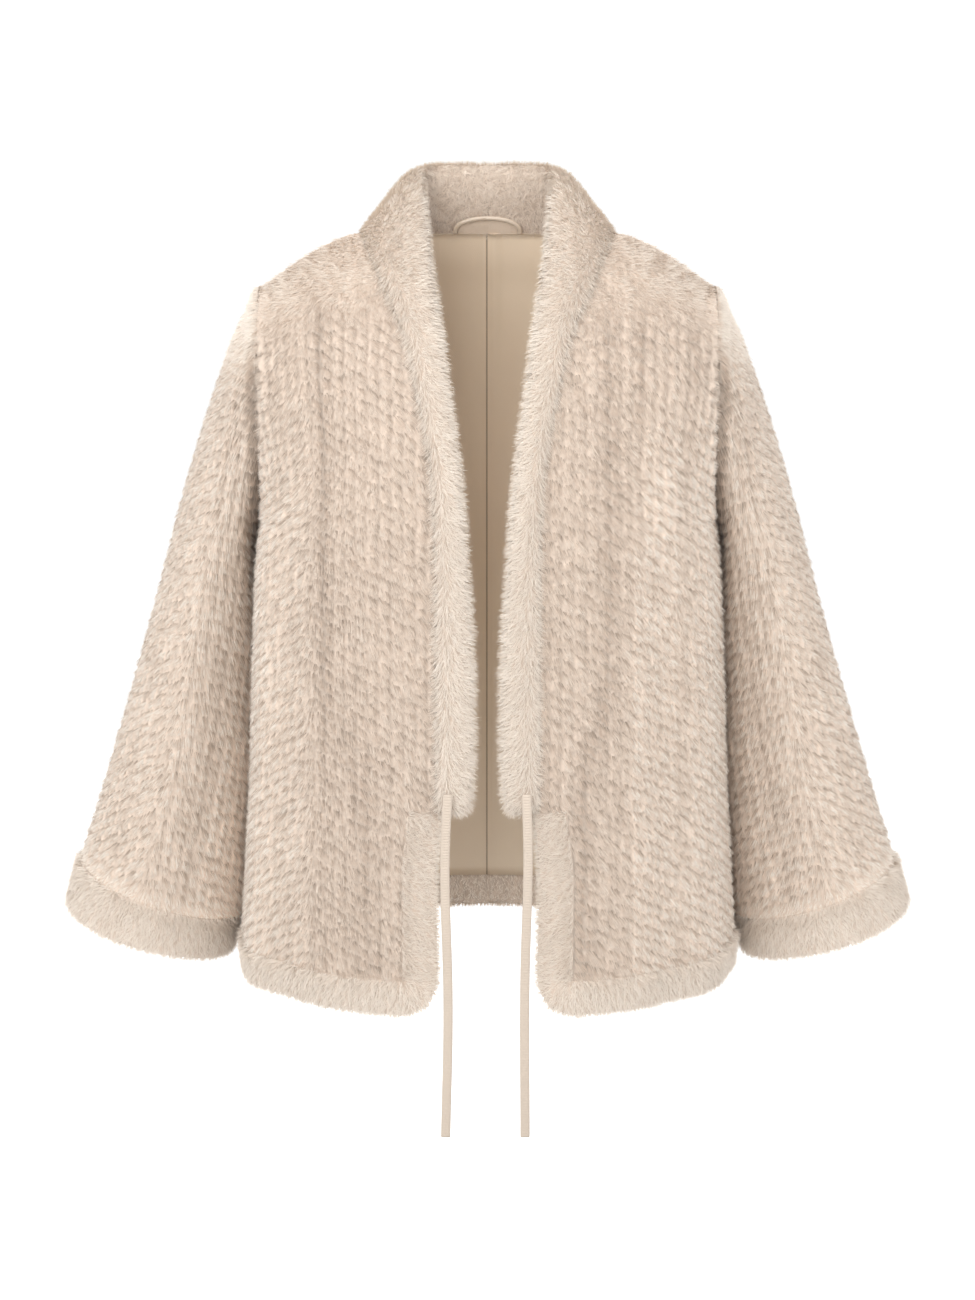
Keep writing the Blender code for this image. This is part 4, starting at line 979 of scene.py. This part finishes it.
def build_lining(grid, ways):
    """The satin back lining, with its seam, the pleat at its top and a few soft drags."""
    n, rows = grid.shape[0] - 1, grid.shape[1]
    clear = np.full(rows, 0.0006)
    clear[-2:] *= 4
    near = grid + ways * (KNIT_WALL + clear)[None, :, None]
    at_neck = np.abs(np.arange(n + 1) - n / 2) <= NECK_COLUMNS
    near[:, -1] = mixed(near[:, -1], near[:, -2], 0.10)
    near[at_neck, -1, 1] -= 0.0015
    near[at_neck, -1, 2] = 0.0
    half = n / 2
    spread = np.sinh(np.linspace(-2.2, 2.2, 101)) / np.sinh(2.2)
    xs = half + spread * (half - 1)
    ys = np.linspace(1, rows - 1, 85)
    face, into = sample(near, xs, ys), unit(sample(ways, xs, ys))
    x, z = face[..., 0], face[..., 2]
    seam = 0.0011 * bell(x, 0.0016)
    top = smooth_step(z, -0.16, -0.03)
    pleat = 0.0022 * top * bell(x - 0.006, 0.0040) - 0.0012 * top * bell(x + 0.004, 0.003)
    drags = 0.0
    for place, wide, height, low, high in LINING_DRAGS:
        along_it = smooth_step(z, low, low + 0.10) * (1 - smooth_step(z, high - 0.10, high))
        drags = drags + height * along_it * bell(x - place - 0.01 * np.sin(z * 9 + place * 40), wide)
    lift = 0.0024 + drags + pleat - seam
    step = 4
    outer = face + into * lift[..., None]
    inner = (face + into * 0.0004)[::step, ::step]
    last = (len(xs) - 1, len(ys) - 1)
    corners = [(0, 0), (last[0], 0), last, (0, last[1])]
    piece = shell("back_lining", outer, inner, step, np.ones(x.shape), 1, "lining_satin", corners)
    piece.data.materials[0] = lining_material()
    cloth("lining_back")


def lining_material():
    """Satin with a thin dark seam down its middle, and painted shade that darkens it towards its lower end."""
    made = satin_material("lining", (0.98, 0.80, 0.608), (1.0, 0.845, 0.65), 0.40, 300.0)
    nodes, links = made.node_tree.nodes, made.node_tree.links
    shader = nodes["Principled BSDF"]
    base = shader.inputs["Base Color"].links[0].from_socket
    place = nodes.new("ShaderNodeTexCoord")
    parts = nodes.new("ShaderNodeSeparateXYZ")
    links.new(place.outputs["Object"], parts.inputs["Vector"])

    def math_node(kind, a, b=None):
        node = nodes.new("ShaderNodeMath")
        node.operation = kind
        for k, value in enumerate((a, b)):
            if isinstance(value, (int, float)):
                node.inputs[k].default_value = value
            elif value is not None:
                links.new(value, node.inputs[k])
        return node.outputs[0]

    seam = math_node("LESS_THAN", math_node("ABSOLUTE", math_node("ADD", parts.outputs["X"], 0.0006)), 0.0007)
    seamed = mixed_colour(nodes, links, math_node("MULTIPLY", seam, 0.8), base, (0.38, 0.28, 0.19, 1))
    # Painted shade: darker towards the lower end.
    height = nodes.new("ShaderNodeMapRange")
    for socket, value in (("From Min", -0.62), ("From Max", -0.25), ("To Min", 0.77), ("To Max", 1.0)):
        height.inputs[socket].default_value = value
    links.new(parts.outputs["Z"], height.inputs["Value"])
    shaded = mixed_colour(nodes, links, 1.0, seamed, height.outputs["Result"], "MULTIPLY")
    links.new(shaded, shader.inputs["Base Color"])
    return made


SLEEVE_DEPTH = 0.075  # half the sleeve's depth, as the knit's columns are counted


def build_sleeve(label):
    side = 1 if label == "right" else -1
    grid, ways = sleeve_grid()
    rows = grid.shape[1] - 1
    step = 6
    xs = np.arange(grid.shape[0] * step) / step
    ys = steps_of([step] * 2 + [2 * step] * (CUFF_SECTION - 2))
    face, into = sample(grid, xs, ys, closed=True), unit(sample(ways, xs, ys, closed=True))
    out = outward_normals(face, into, closed=True)
    x, y, z = face[..., 0], face[..., 1], face[..., 2]
    heights = np.array([(s[1], s[3]) for s in SLEEVE_SECTIONS])
    outer_x = np.interp(-z, -heights[:, 0], [s[0] for s in SLEEVE_SECTIONS])
    inner_x = np.interp(-z, -heights[:, 1], [s[2] for s in SLEEVE_SECTIONS])
    middle, half = (outer_x + inner_x) / 2, np.maximum((outer_x - inner_x) / 2, 0.02)
    mid_y = np.interp(-z, -heights.mean(axis=1), [s[4] for s in SLEEVE_SECTIONS])
    back = y > mid_y
    phi = np.arctan2((x - middle) / half, np.abs(y - mid_y) / SLEEVE_DEPTH)
    u = np.zeros_like(phi)
    for k in range(12):  # the way round an ellipse, in twelve steps
        part = phi * (k + 0.5) / 12
        u += np.sqrt((half * np.cos(part)) ** 2 + (SLEEVE_DEPTH * np.sin(part)) ** 2) * phi / 12
    v = -z - 0.42 * np.sqrt(u**2 + 0.006**2)
    knit = smooth_step(-z, 0.070, 0.125)
    cuff = np.minimum(1, (len(ys) - 1 - np.arange(len(ys))) / 5.0)[None]
    knit = knit * smooth_step(cuff, 0.0, 1.0)
    around = np.gradient(np.concatenate([face[-1:], face, face[:1]]), axis=0)[1:-1]
    aside = around * np.where(back, -1.0, 1.0)[..., None]
    sway = 0.40 * np.tanh((u - 0.004) / 0.008)
    top = 1 - smooth_step(-z, 0.04, 0.12)
    sway = mixed(sway, 0.30, top)
    # Painted shade on the sleeve's head; on its inner front side painted light on the left sleeve and a little painted
    # shade on the right.
    deep_in = smooth_step(-u, 0.030, 0.085) * (~back)
    tone = 1.04 - 0.03 * top + (0.24 if side < 0 else -0.04) * deep_in
    # 5% lighter away from the middle of its front and back.
    tone = tone + 0.05 * smooth_step(np.abs(u), 0.01, 0.05)
    # Painted shade in the crease by the body.
    crease_shadow = (1 - smooth_step(ys, 0.1, 1.1))[None] * smooth_step(-z, 0.07, 0.12) * (~back)
    tone = tone * (1 - 0.38 * crease_shadow)
    # Painted shade in two crease lines down the knit.
    tone = tone - hills(u, ((-0.030, 0.006, 0.07), (0.045, 0.006, 0.07))) * knit
    under = smooth_step(-phi, 0.75, 1.4) * smooth_step(-z, 0.235, 0.265)
    first = 1 - smooth_step(ys, 0.2, 1.0)[None]
    raised = mixed(0.40, 0.38, knit) + 0.40 * under * (1 - smooth_step(-z, 0.36, 0.42))
    bed = face + into * ((SINK * smooth_step(ys, 0.0, 1.3)[None] - 0.0066 * under)[..., None])
    long = mixed(0.0080, 0.0086, knit) * (0.88 + 0.12 * cuff)
    grids = [ringed(k) for k in (bed, out, u, v, np.gradient(face, axis=1), aside)]
    fields = {"knit": knit, "sway": sway, "long": long, "lift": raised, "tone": tone}
    fields["width"] = mixed(0.00070, 0.00082, knit)
    cover = Cover(*grids, want=1.0 + 1.2 * first, **{k: ringed(f) for k, f in fields.items()})
    fur = hair(f"sleeve_{label}_hair", cover, 80000, 21 + (side > 0), side)
    inner = face + into * KNIT_WALL
    tube = knit_shell(f"sleeve_{label}", bed, out, u, v, knit, tone, inner, step, side, closed=True)
    cloth(f"sleeve_{label}")
    stations = np.arange(0, grid.shape[0], 1 / 7)
    a, b = (sample(grid, stations, [k], closed=True)[:, 0] for k in (CUFF_SECTION, rows))
    into_a, into_b = (unit(sample(ways, stations, [k], closed=True)[:, 0]) for k in (CUFF_SECTION, rows))
    name = f"cuff_border_{label}"
    build_strip(name, a, b, into_a, into_b, 25000, 25 + (side > 0), side, sway=0.1, closed=True)


BAND_PROFILE = (
    (0.00, 0.12), (0.11, 0.30), (0.36, 0.46), (0.62, 0.48), (0.88, 0.32), (1.00, 0.00),
    (0.88, -0.32), (0.62, -0.48), (0.28, -0.50), (0.00, -0.42), (0.00, -0.32),
)


# The rounded lower end of the band: how far up its rings are, and their shares of the way to full size.
BAND_END_RUN = (0.0004, 0.0010, 0.0022, 0.0040, 0.0062, 0.0088, 0.0118, 0.0150)
BAND_END_SHARE = (0.04, 0.12, 0.25, 0.42, 0.60, 0.78, 0.92, 1.0)


def build_band(label):
    """One half of the shawl band, a plush roll whose hair parts near its seam and falls to its free edge."""
    side = 1 if label == "right" else -1
    width = np.linalg.norm(EDGE - SEAM, axis=1)
    ends, stations = len(BAND_END_RUN), 217
    places = np.concatenate([np.zeros(ends), np.linspace(0, len(SEAM) - 1, stations)])
    shrink = np.ones(len(places))
    lengths = np.concatenate([BAND_END_RUN, np.zeros(stations)])
    shrink[:ends] = np.sqrt(1 - (1 - np.array(BAND_END_SHARE)) ** 2)
    keep = np.ones(len(places), bool)
    rise = np.interp(places, np.arange(len(SEAM)), run_over(SEAM))
    keep[ends:] = rise[ends:] > 0.0165
    places, shrink, lengths, rise = (k[keep] for k in (places, shrink, lengths, rise))
    if len(places) % 2 == 0:
        places, shrink, lengths, rise = (np.delete(k, ends) for k in (places, shrink, lengths, rise))
    seam, wide = along(SEAM, places), along(width, places)
    across, outward = unit(along(ACROSS, places)), unit(along(SEAM_OUT, places))
    seam = seam + unit(SEAM[1] - SEAM[0]) * lengths[:, None]
    seam[-1] *= (0, 1, 1)
    at_middle = smooth_step(places, len(SEAM) - 2.0, len(SEAM) - 1.0)[:, None]
    outward = unit(outward - outward * (1, 0, 0) * at_middle)
    profile = along(BAND_PROFILE, np.arange(0, len(BAND_PROFILE), 0.25), closed=True)
    w, t = profile[:, 0], profile[:, 1]
    rings = []
    for k in range(len(places)):
        neck = float(smooth_step(rise[k], 0.34, 0.46))
        sunk = mixed(PLUSH_SINK, 0.0012, neck)
        full = max(wide[k] - sunk, 0.01)
        offset = full * (w - 0.5) * (0.45 + 0.55 * shrink[k]) + full * 0.5
        thick = (BAND_THICKNESS - 2 * sunk + 0.002) * t * shrink[k] ** 0.7
        corner = 0.0050 * bell(seam[k][1] - 0.058, 0.022) * smooth_step(seam[k][0], 0.02, 0.06)
        thick = thick + corner * np.clip(t / 0.45, 0, 1)
        beside_neck = 0.0024 * bell(places[k] - NECK_STATION + 0.2, 1.7)
        thick = thick + beside_neck * np.clip(1 - w / 0.5, 0, 1) * np.clip((t + 0.1) / 0.3, 0, 1)
        rings.append(seam[k] + across[k] * (offset + 0.0004)[:, None] + outward[k] * thick[:, None])
    rings = np.array(rings)
    rings[-1, :, 0] = 0
    across_way = np.gradient(rings, axis=0)
    round_it = (np.roll(rings, -1, axis=1) - np.roll(rings, 1, axis=1)) / 2
    out = off_middle(unit(np.cross(across_way, round_it)), rings)
    grids = [ringed(k, 1) for k in (rings, out, -across_way, round_it)]
    ring = np.arange(rings.shape[1] + 1) / 4.0
    total = rise + lengths
    u = run_over(grids[0], 1)
    v = -np.broadcast_to(total[:, None], u.shape)
    # Angles are from straight down the band, turning towards its free edge on the outer face.
    sway = np.interp(ring, (0, 1, 1.6, 2.4, 3.6, 5, 6, 9, 11), (-0.9, -0.6, 0.05, 0.72, 0.92, 1.0, 0.8, 0.4, 0.2))
    lift = np.interp(ring, (0, 0.6, 1.2, 2, 3.5, 5, 7, 11), (0.7, 0.55, 0.42, 0.40, 0.42, 0.55, 0.40, 0.30))
    want = np.interp(ring, (0, 0.5, 1, 4, 5.5, 7, 9.5, 11), (1.2, 1.6, 1.3, 1.3, 1.3, 0.7, 0.35, 0.35))
    # Painted shade: a little darker on the band's inner face.
    tone = np.interp(ring, (0, 0.8, 2, 4.5, 6, 11), (0.99, 1.0, 1.01, 1.01, 0.99, 0.97))
    collar = smooth_step(total, 0.42, 0.56)[:, None]
    centre = smooth_step(total, total[-1] - 0.07, total[-1] - 0.01)[:, None]
    inner_face = np.interp(ring, (4.6, 6.0, 11), (0, 1, 1))[None]
    want = want[None] * (1 + 1.6 * collar * inner_face)
    # Painted shade on the collar's inner face; the band below the collar is 3.5% darker.
    tone = tone[None] * (1 - 0.035 * (1 - collar)) * (1 - 0.01 * collar * inner_face)
    sway = mixed(sway[None], 1.5, centre * np.clip((ring - 2) / 1.5, 0, 1))
    lift = mixed(lift[None], lift[None] + 0.12, collar)
    cover = Cover(
        grids[0], grids[1], u, v, grids[2], grids[3],
        knit=0.0, sway=sway, long=mixed(0.0100, 0.0068, collar), lift=lift, tone=tone, want=want, width=0.00060,
        curl=0.85 * collar * inner_face + 0.10 * collar,
    )
    fur = hair(f"shawl_band_{label}_hair", cover, 55000, 31 + (side > 0), side)
    tube = plush_shell(f"shawl_band_{label}", rings, out, 0.86, side)
    cloth(f"shawl_band_{label}")


# ---------------------------------------------------------------- loop and patch
LOOP_SPAN, LOOP_RISE, LOOP_FOOT = 0.057, 0.0130, 0.001
LOOP_RADIUS, LOOP_CLEAR, PATCH_THICKNESS = 0.0024, 0.0005, 0.0012  # of the solids
CORD_RADIUS = 0.0020  # of the twisted cord seen
PATCH_FOOT = -0.0005


def collar_face_y(x, height):
    """Depth of the collar's inner face near the middle of the back."""
    (_, low_side), (up, high_side) = BAND_PROFILE[-2], BAND_PROFILE[-3]
    low = SEAM[NECK_STATION:] + SEAM_OUT[NECK_STATION:] * BAND_THICKNESS * low_side
    high = SEAM[NECK_STATION:] + (EDGE - SEAM)[NECK_STATION:] * up
    high = high + SEAM_OUT[NECK_STATION:] * BAND_THICKNESS * high_side
    places = low + (high - low) * ((height - low[:, 2]) / (high[:, 2] - low[:, 2]))[:, None]
    return float(np.interp(abs(x), places[::-1, 0], places[::-1, 1]))


def arch(half_span, rise, foot, count=25):
    angles = np.linspace(0, math.pi, count)
    return [(-half_span * math.cos(t), foot + rise * max(math.sin(t), 0.0) ** 0.8) for t in angles]


def build_loop():
    lift = LOOP_RADIUS + PATCH_THICKNESS + 3 * LOOP_CLEAR
    route = np.array([(x, collar_face_y(x, h) - lift, h) for x, h in arch(LOOP_SPAN / 2, LOOP_RISE, LOOP_FOOT)])
    line = along(route, np.linspace(0, len(route) - 1, 181))
    way = unit(np.gradient(line, axis=0))
    deep = unit(np.array((0, 1.0, 0)) - way * way[:, 1:2])
    wide = np.cross(way, deep)
    turn = np.linspace(0, 2 * math.pi, 20, endpoint=False)
    run = np.linspace(0, 1, len(line))[:, None]
    radius = CORD_RADIUS * (1 - 0.10 * bell(np.mod(turn + 26 * run, 2 * math.pi) - math.pi, 0.35))
    points = line[:, None] + deep[:, None] * (np.cos(turn) * radius)[..., None]
    points = points + wide[:, None] * (np.sin(turn) * radius)[..., None]
    mesh = new_mesh("satin_loop", points.reshape(-1, 3), tube_faces(len(line), len(turn)))
    loop = add("satin_loop", mesh, SATIN_CORD)
    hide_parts("hanger_loop")
    outline = arch(LOOP_SPAN / 2 - LOOP_RADIUS, LOOP_RISE - PATCH_THICKNESS, LOOP_FOOT, 49)
    rows = np.linspace(0, 1, 17)
    places = [[(x, mixed(PATCH_FOOT, h, r)) for r in rows] for x, h in outline]
    front = np.array([[(x, collar_face_y(x, h) - LOOP_CLEAR, h) for x, h in column] for column in places])
    across = np.sin(np.pi * np.linspace(0, 1, len(outline)))[:, None]
    puff = 0.0005 + 0.0011 * across**0.5 * np.sin(np.pi * rows)[None] ** 0.5
    outer = front - (0, 1, 0) * puff[..., None]
    inner = front[::4, ::4]
    corners = [(0, 0), (48, 0), (48, 16), (0, 16)]
    patch = shell("neck_patch_cloth", outer, inner, 4, np.ones(outer.shape[:2]), 1, "lining_satin", corners)
    patch.data.materials[0] = SATIN
    cloth("neck_patch")


for which in ("left", "right"):
    front, front_ways = build_front(which)
    build_front_border(which, front, front_ways)
    build_sleeve(which)
    build_band(which)
build_back()
build_loop()

# ---------------------------------------------------------------- floor, light and view
FLOOR = -1.30


def stage_material(name, near, far, glow):
    """A pale matt floor, a little darker and without glow under and before the coat."""
    made, nodes, links, shader = shader_material(name, 0.9, 0.1)
    place = nodes.new("ShaderNodeTexCoord")
    distance = nodes.new("ShaderNodeVectorMath")
    distance.operation = "LENGTH"
    ramp = nodes.new("ShaderNodeMapRange")
    ramp.inputs["From Min"].default_value, ramp.inputs["From Max"].default_value = 1.75, 2.45
    links.new(place.outputs["Object"], distance.inputs[0])
    links.new(distance.outputs["Value"], ramp.inputs["Value"])
    for socket, start, end in (("Base Color", near, far), ("Emission Color", 0.1, 1.0)):
        start, end = (start,) * 3 + (1,), (end,) * 3 + (1,)
        links.new(mixed_colour(nodes, links, ramp.outputs["Result"], start, end), shader.inputs[socket])
    shader.inputs["Emission Strength"].default_value = glow
    return made


def build_stage():
    """A wide floor that ends at a low white ring far from the coat. Both glow and so light the coat, but for the
    floor's darker part under and before it.
    """
    wide, radius, height, count = 45.0, 42.0, 9.0, 96
    points = [(-wide, -wide, 0), (wide, -wide, 0), (wide, wide, 0), (-wide, wide, 0)]
    floor = new_mesh("floor", points, [[(0, 1, 2, 3)]])
    floor.materials.append(stage_material("pale_floor", 0.62, 0.93, 0.50))
    turns = [2 * math.pi * k / count for k in range(count)]
    points = [(radius * math.cos(t), radius * math.sin(t), z) for z in (0.0, height) for t in turns]
    walls = [(k, (k + 1) % count, count + (k + 1) % count, count + k) for k in range(count)]
    ring = new_mesh("far_ring", points, [walls])
    ring.materials.append(stage_material("pale_ring", 0.93, 0.93, 0.42))
    for mesh in (floor, ring):
        piece = bpy.data.objects.new(mesh.name, mesh)
        piece.location = (0, -1.6 if mesh is floor else 0, FLOOR)
        bpy.context.scene.collection.objects.link(piece)


def add_light(name, place, aim, size, power):
    data = bpy.data.lights.new(name, "AREA")
    data.size = size
    data.energy = power
    light = bpy.data.objects.new(name, data)
    light.location = place
    light.rotation_euler = (Vector(aim) - Vector(place)).to_track_quat("-Z", "Y").to_euler()
    bpy.context.scene.collection.objects.link(light)


build_stage()
world = bpy.data.worlds.new("studio")
world.use_nodes = True
world.node_tree.nodes["Background"].inputs["Color"].default_value = (1, 1, 1, 1)
world.node_tree.nodes["Background"].inputs["Strength"].default_value = 0.60
bpy.context.scene.world = world
add_light("key", (-2.1, -2.1, 1.7), (0, 0, -0.3), 1.6, 25)
add_light("side", (2.3, -1.9, 0.9), (0, 0, -0.3), 1.6, 14)
add_light("fill", (-0.7, -3.2, 0.9), (0, 0, -0.2), 1.2, 32)
add_light("top", (0.0, -1.3, 2.3), (0, 0, -0.1), 1.6, 20)
add_light("back", (0.0, 1.9, 1.9), (0, 0, -0.2), 1.6, 30)
bpy.context.scene.view_settings.view_transform = "Standard"
